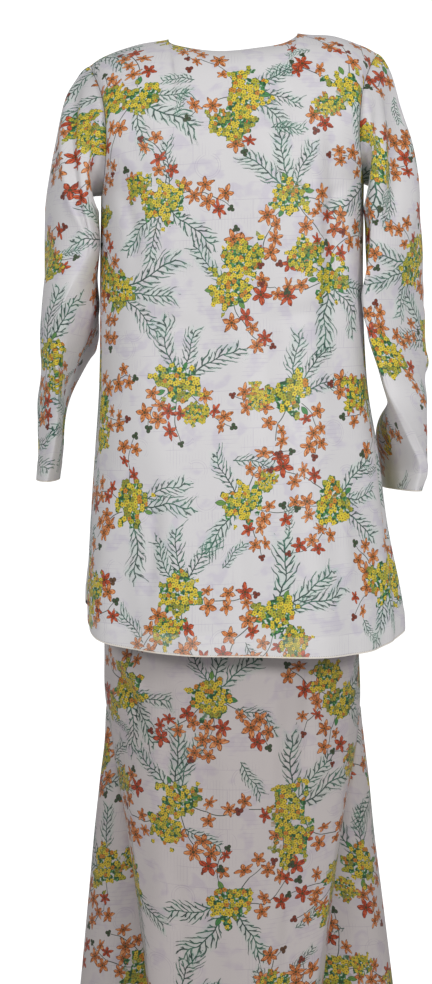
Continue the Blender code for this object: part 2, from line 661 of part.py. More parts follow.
def add_loop(frame, collection, material):
    """The cord loop: from one edge of the slit, round the button's shank and back."""
    radius = BUTTON_SHANK_RADIUS + LOOP_ROOM + LOOP_CORD_RADIUS
    height = LOOP_SEAT + LOOP_CORD_RADIUS
    turn = np.radians(np.linspace(90, -90, LOOP_TURN_POINTS))
    path = [(-LOOP_REACH, radius)]
    path += [(BUTTON_ACROSS + radius * math.cos(t), radius * math.sin(t)) for t in turn]
    path += [(-LOOP_REACH, -radius)]
    curve = bpy.data.curves.new("neck_loop", "CURVE")
    curve.dimensions = "3D"
    curve.bevel_depth = LOOP_CORD_RADIUS
    curve.bevel_resolution = LOOP_BEVEL_RESOLUTION
    curve.use_fill_caps = True
    spline = curve.splines.new("POLY")
    spline.points.add(len(path) - 1)
    for point, (x, y) in zip(spline.points, path):
        point.co = (x, y, height, 1)
    curve.materials.append(material)
    loop = bpy.data.objects.new("neck_loop", curve)
    collection.objects.link(loop)
    loop.matrix_world = frame


def new_material(name, colour, roughness):
    material = bpy.data.materials.new(name)
    material.use_nodes = True
    shader = material.node_tree.nodes["Principled BSDF"]
    shader.inputs["Base Color"].default_value = colour
    shader.inputs["Roughness"].default_value = roughness
    shader.inputs["Metallic"].default_value = 0.0
    return material


def clear_scene():
    for obj in list(bpy.data.objects):
        bpy.data.objects.remove(obj)


def tunic_pieces():
    back, front = body_panel(-1), body_panel(1)
    gores = {side: matched_gore(side, back, front) for side in (-1, 1)}
    left = sleeve(LEFT_SLEEVE, -1, armhole_loop(-1, back, front, gores[-1]))
    right = sleeve(RIGHT_SLEEVE, 1, armhole_loop(1, back, front, gores[1]))
    slit_column = (front.shape[1] - 1) // 2
    levels = -front[:, slit_column, 2]
    slit_row = int(np.argmin(np.abs(levels - (FRONT_NECK_DROP + SLIT_LENGTH))))
    return [
        Piece("back_panel", back, ("top", "left", "right")),
        Piece("front_panel", front, ("top", "left", "right"), hole=(slit_row, slit_column)),
        Piece("gore_left", gores[-1], ("top", "left", "right")),
        Piece("gore_right", gores[1], ("top", "left", "right")),
        Piece("sleeve_left", left, ("bottom",), closed=True, seam=ARMHOLE_GAP),
        Piece("sleeve_right", right, ("bottom",), closed=True, seam=ARMHOLE_GAP),
    ]


def skirt_pieces():
    back, front = skirt_panel(-1), skirt_panel(1)
    return [
        Piece("skirt_back", back, ("top", "left", "right")),
        Piece("skirt_front", front, ("top", "left", "right")),
        Piece("insert_left", skirt_insert(-1, back, front), ("left", "right")),
        Piece("insert_right", skirt_insert(1, back, front), ("left", "right")),
        Piece("waistband", waistband(back, front), ("bottom",), closed=True, cloth=BAND_CLOTH),
    ]


def main():
    clear_scene()
    collection = bpy.data.collections.new("baju_kurung")
    bpy.context.scene.collection.children.link(collection)
    tunic = tunic_pieces()
    for pieces in (tunic, skirt_pieces()):
        normals = shared_normals(pieces)
        for piece in pieces:
            cloth = new_material(piece.name + "_cloth", CLOTH_COLOUR, CLOTH_ROUGHNESS)
            add_wall(piece, normals[piece.name], collection, cloth)
    frame = slit_frame(tunic[1].points)
    button = new_material("neck_button_shell", BUTTON_COLOUR, BUTTON_ROUGHNESS)
    add_button(frame, collection, button)
    cord = new_material("neck_loop_cord", CLOTH_COLOUR, CLOTH_ROUGHNESS)
    add_loop(frame, collection, cord)


main()
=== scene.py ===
"""Looks of the baju kurung: printed satin-crepe cloth on the frame's solids.

Every piece of cloth is a thin shell on its solid's form, with finer folds, a sewn-in edge and a
hem. Lengths are metres unless a name says otherwise; the print works in millimetres of flat cloth.
"""

import math
from collections import namedtuple

import bpy
import mathutils
import numpy as np
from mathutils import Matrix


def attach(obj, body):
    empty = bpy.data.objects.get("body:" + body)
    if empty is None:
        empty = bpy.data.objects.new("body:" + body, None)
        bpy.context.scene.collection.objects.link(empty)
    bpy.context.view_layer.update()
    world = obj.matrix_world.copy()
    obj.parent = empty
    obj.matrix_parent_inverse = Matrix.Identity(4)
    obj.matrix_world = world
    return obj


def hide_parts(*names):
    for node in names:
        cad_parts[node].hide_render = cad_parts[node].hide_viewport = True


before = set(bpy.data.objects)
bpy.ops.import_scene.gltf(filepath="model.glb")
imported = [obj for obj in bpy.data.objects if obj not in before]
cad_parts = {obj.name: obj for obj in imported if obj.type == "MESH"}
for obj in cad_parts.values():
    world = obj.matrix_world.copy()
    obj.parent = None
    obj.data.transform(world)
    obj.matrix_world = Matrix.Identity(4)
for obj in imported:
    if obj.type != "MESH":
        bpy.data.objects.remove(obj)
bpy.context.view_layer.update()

MM = 0.001
FAR = 999.0

# Cloth and its making
CLOTH = 0.0009
BAND_CLOTH = 0.0018
SEAM_GAP = 0.00012
SEAM_DIP = 0.0007
SEAM_DIP_WIDTH = 0.0035
HEM_BAND = 0.027
HEM_STEP = 0.0006
HEM_STEP_WIDTH = 0.0022
CREASE_SEAM_FADE = 0.016
MOST_OF_A_CELL = 0.45

# Tunic: neck, shoulders, armholes and hem
NECK_HALF_WIDTH = 0.090
BACK_NECK_DROP = 0.030
BACK_NECK_DEPTH = 0.058
FRONT_NECK_DROP = 0.082
FRONT_NECK_DEPTH = 0.066
SHOULDER_HALF_WIDTH = 0.202
SHOULDER_TILT = 0.045
TILT_FADES_FROM = 0.25
TILT_FADES_TO = 0.60
ARMPIT_DROP = 0.215
HEM_DROP = 0.840
HEM_LEAN = 0.006
HEM_RISE_LEFT = 0.046
HEM_RISE_LEFT_WIDTH = 24.0
HEM_RISE_RIGHT = 0.026
HEM_RISE_RIGHT_WIDTH = 26.0
SQUARENESS = 2.4
SHOULDER_ROUNDNESS = 3.2
SLIT_LENGTH = 0.095
SLIT_HALF_GAP = 0.0022

# Skirt: waistband, side seams and the flared inserts below the knee
WAIST_DROP = 0.385
WAISTBAND_HEIGHT = 0.035
FLARE_DROP = 0.930
FLARE_STEP = 0.008
SKIRT_DROP = 1.370
SKIRT_EDGE_ANGLE = 70.0
UNDER_TUNIC = 0.003
COVERED_TO = 0.76
COVER_FADE = 0.06


def rows(kind, *values, plain=""):
    """A table's rows. Its numbers are thousandths, so lengths are in mm, but for the plain columns."""
    whole = [name in plain.split() for name in kind._fields]
    return tuple(kind(*(v if as_is else v / 1000 for v, as_is in zip(row, whole))) for row in values)


Body = namedtuple("Body", "drop left right back front gore")
BODY = rows(
    Body,
    (215, 184, 183, 120, 124, 12),
    (260, 184.5, 182.5, 121, 130, 16),
    (340, 185, 181.5, 118, 128, 23),
    (420, 185.5, 183, 118, 124, 30),
    (500, 187, 188, 127, 126, 37),
    (580, 192, 201, 141, 132, 44),
    (650, 197, 209.5, 151, 139, 50),
    (720, 201.5, 219, 160, 147, 57),
    (770, 204.5, 226.5, 166, 153, 62),
    (810, 204, 231.5, 170, 157, 67),
    (845, 203, 232, 174, 161, 71),
)

Chest = namedtuple("Chest", "drop back front")
CHEST = rows(
    Chest,
    (20, 88, 74),
    (60, 99, 86),
    (110, 112, 101),
    (160, 119, 115),
    (215, 120, 124),
)

Armhole = namedtuple("Armhole", "up back_x back_y front_x front_y")
ARMHOLE = rows(
    Armhole,
    (0, 182.4, 12, 182.4, 12),
    (0.15, 176.5, 45, 173, 48),
    (0.33, 173, 65, 164, 70),
    (0.5, 173.5, 71, 161, 76),
    (0.7, 179, 61, 169, 64),
    (0.87, 190, 36, 186, 38),
    (1, 202, 0, 202, 0),
    plain="up",
)

Shoulder = namedtuple("Shoulder", "x drop")
SHOULDER = rows(
    Shoulder,
    (90, 0),
    (110, 3),
    (140, 9),
    (170, 18),
    (190, 26),
    (202, 33),
)

# Folds that the solids also have: angle round the body (back -90, right 0), how wide and how deep
Fold = namedtuple("Fold", "angle width depth start full drift")
TUNIC_FOLDS = rows(
    Fold,
    (-47, 9, -6, 200, 280, 0),
    (-63, 9, 5, 450, 750, 6),
    (-84, 10, -5, 500, 850, 4),
    (-104, 9, 4.5, 550, 850, -4),
    (-128, 10, -6, 500, 800, -6),
    (-148, 8, 5, 600, 850, 0),
    (-33, 7, -5.5, 620, 850, 4),
    (-12, 6, 7, 660, 800, 0),
    (10, 8, -8, 600, 820, 0),
    (168, 6, 7, 660, 820, 0),
    (-170, 6, -6, 680, 840, 0),
    (50, 10, 6, 500, 800, 4),
    (75, 10, -6, 500, 850, 0),
    (105, 10, 6, 500, 850, 0),
    (132, 10, -6, 500, 850, -4),
    plain="angle width drift",
)

Sleeve = namedtuple("Sleeve", "drop x y major outer inner turn")
LEFT_SLEEVE = rows(
    Sleeve,
    (250, 221.2, 2, 78, 41, 31, 15),
    (300, 220, 2, 77, 42.5, 30, 18),
    (345, 222.5, 3, 76, 43, 33, 5),
    (385, 222.5, 5, 74, 42, 32.5, -9),
    (425, 221, 9, 72, 44, 18, -17),
    (467, 229.5, 18, 68, 37, 8, -10),
    (505, 240, 28, 65, 33, 6, -2),
    (546, 250, 41, 62, 27, 9, 5),
    (585, 256, 53, 59, 21.5, 12, 4),
    (625, 262, 64, 57, 19, 12, 0),
    plain="turn",
)
RIGHT_SLEEVE = rows(
    Sleeve,
    (250, 216.8, 2, 78, 41, 28, 21),
    (300, 220, 1, 77, 40, 28, 26),
    (372, 224.3, -1, 78, 24, 20, 37),
    (420, 229.3, -2, 74, 20, 20, 36),
    (467, 236.5, -2, 70, 23, 18, 30),
    (503, 228, 0, 68, 43, 11, 13),
    (535, 221, 3, 65, 50, 8, -6),
    (566, 224.5, 7, 62, 45.5, 7, -17),
    (600, 234, 12, 60, 30, 9, -23),
    (635, 234, 18, 58, 24, 11, -18),
    plain="turn",
)
CREASE_ALONG = 0.92
CREASE_ACROSS = 1.25
CAP_LEAVES_OUT = 0.095
CAP_LEAVES_DOWN = 0.050
CAP_ARRIVES = 0.150
CAP_FOLD_DEPTH = 0.006
CAP_FOLD_WIDTH = 0.075
CAP_FOLD_FROM = 0.40
CAP_FOLD_TO = 0.14

Skirt = namedtuple("Skirt", "drop left right back front edge_x edge_y valley_x valley_y")
SKIRT = rows(
    Skirt,
    (385, 134, 134, 104, 104, 0.94, 0.342, 1, 0),
    (420, 136, 136, 106, 105, 0.94, 0.342, 1, 0),
    (500, 160, 160, 118, 112, 0.94, 0.342, 1, 0),
    (600, 174, 174, 142.8, 118, 0.94, 0.342, 1, 0),
    (720, 177, 176, 134, 119, 0.94, 0.342, 1, 0),
    (860, 179, 176.5, 130, 120, 0.94, 0.342, 1, 0),
    (930, 177.5, 178, 131, 122, 0.94, 0.345, 1, 0),
    (980, 178.5, 184.5, 137, 126, 0.845, 0.52, 0.93, 0.18),
    (1040, 186, 192, 145, 133, 0.765, 0.64, 0.83, 0.29),
    (1110, 194, 198.5, 155, 142, 0.68, 0.74, 0.735, 0.345),
    (1190, 201, 208, 165, 152, 0.59, 0.81, 0.65, 0.38),
    (1290, 210, 220, 177, 164, 0.49, 0.86, 0.56, 0.4),
    (1370, 219, 229, 186, 173, 0.42, 0.885, 0.505, 0.405),
    plain="edge_x edge_y valley_x valley_y",
)
SKIRT_FOLDS = rows(
    Fold,
    (-118, 9, 4.5, 800, 1050, 0),
    (-70, 10, -5, 900, 1150, 0),
    (-98, 9, -4, 950, 1250, 0),
    (72, 10, 5, 850, 1100, 0),
    (100, 10, -5, 850, 1150, 0),
    plain="angle width drift",
)

# Finer creases of each piece, one row each: from (x, drop) to (x, drop), bow to one side, half
# width and height. A negative height is a trough. A crisp one comes to an edge. On a sleeve x is
# the share round it: the underarm is at 0, the back crease at a quarter, the outside at a half
# and the front crease at three quarters.
Crease = namedtuple("Crease", "x0 drop0 x1 drop1 bow width height crisp", defaults=(False,))
CREASES = {
    # Soft drag lines below the right shoulder, then long falls from the shoulder blades
    "back_panel": (
        (20, 78, 85, 175, -16, 8.5, -3.6),
        (34, 64, 104, 150, -14, 7.5, 3),
        (46, 52, 120, 125, -12, 7, -2.4),
        (-150, 120, -85, 205, 12, 10, -2.7),
        (-163, 165, -110, 260, 10, 11, 2.4),
        (126, 100, 138, 390, 6, 11, -5.8),
        (104, 120, 112, 400, 4, 12, 3.6),
        (157, 205, 128, 300, -10, 8.5, -3.6),
        (-160, 215, -132, 330, 10, 8.5, -3.3),
        (-128, 235, -112, 420, 4, 13, 2.7),
        (-70, 290, -60, 520, 6, 15, -3),
        (-10, 250, 4, 480, -4, 16, 2.4),
        (52, 330, 48, 580, -5, 15, -2.7),
        (-140, 395, -40, 425, 10, 13, -2.1),
        (40, 410, 150, 388, 9, 12, -2.3),
        (-105, 600, -118, 800, 4, 10, -3.9),
        (10, 640, 18, 820, -4, 11, -3.3),
        (132, 590, 152, 790, 6, 11, 3.6),
    ),
    # The same kinds of line, and pulls from the top of the slit
    "front_panel": (
        (-18, 110, -80, 190, 12, 8.5, -3),
        (22, 115, 92, 205, -12, 9, -3),
        (-100, 70, -122, 250, 6, 11, 3),
        (105, 75, 128, 240, -6, 10, -3.6),
        (155, 210, 105, 300, -12, 8.5, -3.6),
        (-156, 205, -100, 310, 12, 9, -3.6),
        (-60, 300, -50, 560, 6, 15, -3.3),
        (56, 310, 64, 520, -5, 15, 2.7),
        (0, 430, 6, 700, 4, 16, -2.7),
        (-120, 560, -132, 790, 5, 11, 3.6),
        (120, 580, 136, 800, -5, 11, -3.9),
    ),
    # One short bright fold at the left hip, falls from the seat and the knees
    "skirt_back": (
        (-158, 848, -112, 925, 3, 6.5, 6, True),
        (-168, 866, -124, 945, 3, 7.5, -5),
        (-98, 855, -88, 1060, 6, 12, -3.6),
        (60, 870, 52, 1080, -5, 13, 3),
        (112, 850, 100, 1010, -6, 11, -3.3),
        (-20, 900, -14, 1220, 6, 15, 3.3),
        (90, 1030, 70, 1300, -5, 11, -3.9),
        (-80, 1080, -66, 1330, 5, 11, -3.6),
    ),
    "skirt_front": (
        (-90, 820, -80, 1060, 6, 13, -3.6),
        (84, 830, 78, 1080, -6, 12, 3.3),
        (10, 900, 4, 1260, 6, 15, -3.3),
        (-60, 1080, -50, 1330, 4, 11, 3.6),
    ),
    "sleeve_left": (
        (495, 45, 210, 320, 0, 6.5, -10),
        (535, 45, 250, 310, 0, 11.5, 8, True),
        (250, 330, 250, 540, 0, 7, 4.5, True),
        (40, 330, 60, 540, 0, 24, 1.6),
        (130, 395, 300, 425, 10, 8, -3),
        (100, 440, 240, 452, 8, 7.5, 2.2),
        (600, 360, 840, 405, 12, 9, -3),
        (620, 415, 880, 440, -10, 8, 2.6),
        (520, 120, 580, 330, 20, 12, -2.6),
        (440, 480, 360, 600, 10, 8.5, 2),
        (660, 500, 600, 610, 10, 8.5, -2),
    ),
    "sleeve_right": (
        (455, 45, 335, 290, 6, 14, -12.5),
        (530, 90, 430, 300, 10, 12, 5),
        (250, 185, 330, 285, 0, 8, 5.5, True),
        (145, 240, 150, 365, 0, 19, -11.5),
        (250, 480, 345, 650, 0, 7, 4.2, True),
        (300, 345, 450, 395, 10, 8.5, -2.6),
        (280, 400, 440, 470, -8, 8.5, 2.4),
        (100, 400, 220, 440, 10, 8, -2.6),
        (600, 370, 860, 410, 12, 9, -3),
        (580, 430, 800, 480, -10, 8.5, 2.6),
        (540, 130, 600, 320, 20, 12, -2.6),
        (620, 510, 580, 620, 10, 8.5, -2),
    ),
}
SLEEVE_ROUND = 0.32
WAVES = 9
WAVE_HEIGHT = 0.00035

# How finely each stretch of cloth is divided; the armhole's rows and the gore's columns keep the
# share that gives the sleeve its solid's form
FINENESS = 5
NECK_COLUMNS = 5 * FINENESS
SIDE_COLUMNS = 7 * FINENESS
ARMHOLE_ROWS = 9 * FINENESS
BODY_ROWS = 33 * FINENESS
GORE_COLUMNS = 4 * FINENESS
CAP_ROWS = 7 * FINENESS
SLEEVE_ROWS = 21 * FINENESS
SKIRT_ARC_COLUMNS = 10 * FINENESS
SKIRT_WALL_COLUMNS = 3 * FINENESS
INSERT_COLUMNS = 9 * FINENESS
HIP_ROWS = 27 * FINENESS
FLARE_ROWS = 22 * FINENESS
BAND_ROWS = 2 * FINENESS


def smooth(table, column, x):
    """The named column of a table at x, on a smooth curve through its rows."""
    keys = np.array([row[0] for row in table])
    values = np.array([getattr(row, column) for row in table])
    slopes = np.gradient(values, keys)
    x = np.clip(x, keys[0], keys[-1])
    low = np.clip(np.searchsorted(keys, x, side="right") - 1, 0, len(keys) - 2)
    span = keys[low + 1] - keys[low]
    t = (x - keys[low]) / span
    along = values[low] * (1 + 2 * t) * (1 - t) ** 2 + values[low + 1] * t * t * (3 - 2 * t)
    return along + span * t * (1 - t) * (slopes[low] * (1 - t) - slopes[low + 1] * t)


def ease(x, start, full):
    """0 before start, 1 after full, and a soft step between them."""
    t = np.clip((x - start) / (full - start), 0.0, 1.0)
    return t * t * (3 - 2 * t)


def superellipse(share):
    """The other coordinate of a unit superellipse."""
    return (1 - np.clip(np.abs(share), 0, 1) ** SQUARENESS) ** (1 / SQUARENESS)


def fold_height(folds, angle, drop):
    """How far the soft folds lift the cloth at an angle round the body, in degrees."""
    lift = np.zeros(np.broadcast(angle, drop).shape)
    for fold in folds:
        away = angle - fold.angle - fold.drift * (drop - fold.start)
        away = (away + 180) % 360 - 180
        lift += fold.depth * np.exp(-((away / fold.width) ** 2)) * ease(drop, fold.start, fold.full)
    return lift


def folded(points, folds, half, depth):
    """Points of a body ring moved out or in by the soft folds."""
    across = points[..., 0] / half
    along = points[..., 1] / depth
    angle = np.degrees(np.arctan2(along, across))
    lift = fold_height(folds, angle, -points[..., 2])
    length = np.hypot(across, along)
    moved = points.copy()
    moved[..., 0] += lift * across / length
    moved[..., 1] += lift * along / length
    return moved


def tilted(points):
    """The tunic's shoulders lean a little to its left, and its hem hangs level."""
    drop = -points[..., 2]
    moved = points.copy()
    moved[..., 2] += SHOULDER_TILT * points[..., 0] * (1 - ease(drop, TILT_FADES_FROM, TILT_FADES_TO))
    return moved


def seam_share(drop, depth):
    """A panel's half width at its gore seam, as a share of the body's half width."""
    return superellipse(smooth(BODY, "gore", drop) / depth)


def body_half(share, drop):
    """The body's half width on the side that the share's sign says."""
    return np.where(share < 0, smooth(BODY, "left", drop), smooth(BODY, "right", drop))


def hem_drop(angle):
    """The hem's level round the body. It rises at the sides and leans down to the right."""
    to_left = ((angle + 360) % 360 - 180) / HEM_RISE_LEFT_WIDTH
    to_right = ((angle + 180) % 360 - 180) / HEM_RISE_RIGHT_WIDTH
    rise = HEM_RISE_LEFT * np.exp(-(to_left**2)) + HEM_RISE_RIGHT * np.exp(-(to_right**2))
    return HEM_DROP + HEM_LEAN * np.cos(np.radians(angle)) - rise


def panel_columns(slit):
    """Where a panel's columns lie across it, from -1 to 1, closer together near the neck corners."""
    corner = NECK_HALF_WIDTH / SHOULDER_HALF_WIDTH
    step = np.arange(NECK_COLUMNS) / NECK_COLUMNS
    neck = list(corner * (0.4 * step + 0.6 * np.sin(step * math.pi / 2)))
    if slit:
        neck[0] = SLIT_HALF_GAP / SHOULDER_HALF_WIDTH
    start = math.asin(corner)
    turn = np.linspace(start, math.pi / 2, SIDE_COLUMNS + 1)
    half = neck + list(np.sin(turn))
    first = 0 if slit else 1
    return np.array([-x for x in reversed(half[first:])] + half)


def lower_panel(columns, levels, facing):
    """The panel between the armpits and the hem. facing is -1 for the back and 1 for the front."""
    side = "back" if facing < 0 else "front"
    share = np.broadcast_to(columns, (len(levels), len(columns)))
    at_hem = share * seam_share(HEM_DROP, smooth(BODY, side, HEM_DROP))
    angle = np.degrees(np.arctan2(facing * superellipse(at_hem), at_hem))
    drop = ARMPIT_DROP + (hem_drop(angle) - ARMPIT_DROP) * levels[:, None]
    depth = smooth(BODY, side, drop)
    across = share * seam_share(drop, depth)
    half = body_half(share, drop)
    points = np.stack([half * across, facing * depth * superellipse(across), -drop], axis=-1)
    return folded(points, TUNIC_FOLDS, half, depth)


def upper_panel(columns, levels, facing):
    """The panel above the armpits, up to the shoulder line and the neck."""
    side = "back" if facing < 0 else "front"
    up = levels[:, None]
    share = np.broadcast_to(columns, (len(levels), len(columns)))
    half = smooth(ARMHOLE, side + "_x", up)
    edge = smooth(ARMHOLE, side + "_y", up)
    top_x = np.abs(share) * SHOULDER_HALF_WIDTH
    neck_arc = np.sqrt(np.clip(1 - (top_x / NECK_HALF_WIDTH) ** 2, 0, 1))
    neck_drop, neck_depth = (
        (BACK_NECK_DROP, BACK_NECK_DEPTH) if facing < 0 else (FRONT_NECK_DROP, FRONT_NECK_DEPTH)
    )
    top_drop = smooth(SHOULDER, "drop", top_x) + neck_drop * neck_arc
    drop = ARMPIT_DROP + (top_drop - ARMPIT_DROP) * up
    depth_at_armpit = smooth(BODY, side, ARMPIT_DROP)
    seam = seam_share(ARMPIT_DROP, depth_at_armpit)
    low = superellipse(seam)
    bulge = (superellipse(share * seam) - low) / (1 - low)
    rounding = np.sqrt(1 - up**SHOULDER_ROUNDNESS)
    middle = smooth(CHEST, side, drop)
    depth = edge + (middle - edge) * bulge * rounding + neck_depth * neck_arc * (1 - rounding)
    points = np.stack([share * half, facing * depth, -drop], axis=-1)
    return folded(points, TUNIC_FOLDS, SHOULDER_HALF_WIDTH, middle)


def body_panel(facing):
    """A whole back or front panel, from its hem up."""
    columns = panel_columns(slit=facing > 0)
    armhole_rows = 1 - (1 - np.linspace(0, 1, ARMHOLE_ROWS + 1)) ** 1.25
    lower = lower_panel(columns, np.linspace(1, 0, BODY_ROWS + 1), facing)
    upper = upper_panel(columns, armhole_rows, facing)
    return tilted(np.concatenate([lower[:-1], upper]))


def side_gore(side, back, front):
    """The gore between the panels at one side, from its hem up, with the panels' own seam points."""
    levels = np.linspace(1, 0, BODY_ROWS + 1)[:, None]
    place = np.linspace(-1, 1, GORE_COLUMNS + 1)[None, :]
    depth = np.where(place < 0, smooth(BODY, "back", HEM_DROP), smooth(BODY, "front", HEM_DROP))
    at_hem = place * smooth(BODY, "gore", HEM_DROP) / depth
    angle = np.degrees(np.arctan2(at_hem, side * superellipse(at_hem)))
    drop = ARMPIT_DROP + (hem_drop(angle) - ARMPIT_DROP) * levels
    depth = np.where(place < 0, smooth(BODY, "back", drop), smooth(BODY, "front", drop))
    along = place * smooth(BODY, "gore", drop) / depth
    half = body_half(np.full_like(drop, side), drop)
    points = np.stack([side * half * superellipse(along), depth * along, -drop], axis=-1)
    points = tilted(folded(points, TUNIC_FOLDS, half, depth))
    column = -1 if side > 0 else 0
    points[:, 0] = back[: BODY_ROWS + 1, column]
    points[:, -1] = front[: BODY_ROWS + 1, column]
    return points


def armhole_loop(side, back, front, gore):
    """The armhole's points, from the middle of the gore's top, up the back and down the front."""
    column = -1 if side > 0 else 0
    middle = GORE_COLUMNS // 2
    up_back = back[BODY_ROWS:, column]
    down_front = front[BODY_ROWS:, column][::-1]
    return np.concatenate([gore[-1, middle:0:-1], up_back, down_front[1:], gore[-1, -2:middle:-1]])


def sleeve_ring(table, side, drop, around):
    """A sleeve's section at a drop: a flattened ring with a crease at its back and its front."""
    value = {name: smooth(table, name, drop) for name in Sleeve._fields[1:]}
    turn = np.radians(value["turn"])
    back_x, back_y = -side * np.sin(turn), -np.cos(turn)
    out_x, out_y = side * np.cos(turn), -np.sin(turn)
    sine, cosine = np.sin(2 * np.pi * around), -np.cos(2 * np.pi * around)
    along = value["major"] * np.sign(sine) * np.abs(sine) ** CREASE_ALONG
    bulge = np.where(cosine > 0, value["outer"], value["inner"])
    across = bulge * np.sign(cosine) * np.abs(cosine) ** CREASE_ACROSS
    x = side * value["x"] + along * back_x + across * out_x
    y = value["y"] + along * back_y + across * out_y
    return np.stack([x, y, np.full_like(x, -drop)], axis=-1)


def sleeve_cap(loop, ring, side, around):
    """The stretch from the armhole to the sleeve's first full section."""
    top = 0.5 - 0.5 * np.cos(2 * np.pi * around)
    steep = (0.25 + 0.75 * top)[:, None]
    leave = np.stack(
        [side * CAP_LEAVES_OUT * np.ones_like(top), 0 * top, -CAP_LEAVES_DOWN * top], axis=-1
    )
    arrive = np.array([0.0, 0.0, -CAP_ARRIVES])
    lines = []
    for i in range(CAP_ROWS):
        t = i / CAP_ROWS
        line = loop * (1 + 2 * t) * (1 - t) ** 2 + ring * t * t * (3 - 2 * t)
        row = line + t * (1 - t) * (leave * (1 - t) - arrive * steep * t)
        valley = CAP_FOLD_FROM + (CAP_FOLD_TO - CAP_FOLD_FROM) * t
        across = (around - valley) / CAP_FOLD_WIDTH
        dent = CAP_FOLD_DEPTH * np.exp(-(across**2)) * math.sin(math.pi * t)
        row[:, 0] -= 0.5 * side * dent
        row[:, 1] += dent
        lines.append(row)
    return lines


def sleeve(table, side, loop):
    """A whole sleeve, from the armhole down to the cuff."""
    around = np.arange(len(loop)) / len(loop)
    drops = np.linspace(table[0].drop, table[-1].drop, SLEEVE_ROWS + 1)
    rings = [sleeve_ring(table, side, drop, around) for drop in drops]
    return np.array(sleeve_cap(loop, rings[0], side, around) + rings)


def skirt_half(side, drop):
    """The skirt's half width at one side."""
    return smooth(SKIRT, "left" if side < 0 else "right", drop)


def skirt_quarter(side, facing, drop):
    """From the middle of the back or front, past the fold's edge, to the valley behind it."""
    half = skirt_half(side, drop)
    depth = smooth(SKIRT, "back" if facing < 0 else "front", drop)
    edge_x, edge_y = smooth(SKIRT, "edge_x", drop), smooth(SKIRT, "edge_y", drop)
    valley_x, valley_y = smooth(SKIRT, "valley_x", drop), smooth(SKIRT, "valley_y", drop)
    last = math.radians(SKIRT_EDGE_ANGLE)
    turn = np.linspace(0, last, SKIRT_ARC_COLUMNS + 1)
    arc_x = edge_x * np.sin(turn) / math.sin(last)
    arc_y = 1 - (1 - edge_y) * (1 - np.cos(turn)) / (1 - math.cos(last))
    step = np.linspace(0, 1, SKIRT_WALL_COLUMNS + 1)[1:]
    wall_x = edge_x + (valley_x - edge_x) * np.sin(step * math.pi / 2)
    wall_y = edge_y + (valley_y - edge_y) * step
    x, y = np.concatenate([arc_x, wall_x]), np.concatenate([arc_y, wall_y])
    points = np.stack([side * half * x, facing * depth * y, np.full_like(x, -drop)], axis=-1)
    return folded(points, SKIRT_FOLDS, half, depth)


def skirt_drops():
    """The levels of the skirt's rows, from the waistband's lower edge to the hem."""
    top = WAIST_DROP + WAISTBAND_HEIGHT
    hip = np.linspace(top, FLARE_DROP, HIP_ROWS + 1)
    flare = np.linspace(FLARE_DROP + FLARE_STEP, SKIRT_DROP, FLARE_ROWS + 1)
    return np.concatenate([hip, flare])


def skirt_panel(facing):
    """A whole skirt panel, from its hem up."""
    lines = []
    for drop in skirt_drops()[::-1]:
        left = skirt_quarter(-1, facing, drop)[::-1]
        lines.append(np.concatenate([left[:-1], skirt_quarter(1, facing, drop)]))
    return np.array(lines)


def skirt_insert(side, back, front):
    """The flared insert at one side, a rounded flute between the two panels' valleys."""
    column = -1 if side > 0 else 0
    lines = []
    for i, drop in enumerate(skirt_drops()[::-1][: FLARE_ROWS + 1]):
        start, end = back[i, column], front[i, column]
        tip = side * skirt_half(side, drop)
        turn = np.linspace(-math.pi / 2, math.pi / 2, INSERT_COLUMNS + 1)
        base = np.where(turn < 0, start[0], end[0])
        reach = np.where(turn < 0, -start[1], end[1])
        x = base + (tip - base) * np.cos(turn)
        lines.append(np.stack([x, reach * np.sin(turn), np.full_like(x, -drop)], axis=-1))
        lines[-1][0], lines[-1][-1] = start, end
    return np.array(lines)


def waistband(back, front):
    """The band round the waist, from its lower edge up, following the skirt's upper edge."""
    bottom = WAIST_DROP + WAISTBAND_HEIGHT
    ring = np.concatenate([back[-1], front[-1][::-1][1:-1]])
    lines = []
    for drop in np.linspace(bottom, WAIST_DROP, BAND_ROWS + 1):
        scale_x = skirt_half(1, drop) / skirt_half(1, bottom)
        scale_y = smooth(SKIRT, "back", drop) / smooth(SKIRT, "back", bottom)
        lines.append(ring * (scale_x, scale_y, 0) + (0, 0, -drop))
    return np.array(lines)


def unit(vectors):
    return vectors / np.maximum(np.linalg.norm(vectors, axis=-1, keepdims=True), 1e-12)


def steps_along(points, axis):
    return np.linalg.norm(np.diff(points, axis=axis), axis=-1)


def running(lengths, axis):
    """The sum of the lengths up to each point, from 0 at the first."""
    first = np.zeros_like(np.take(lengths, [0], axis))
    return np.concatenate([first, np.cumsum(lengths, axis)], axis)


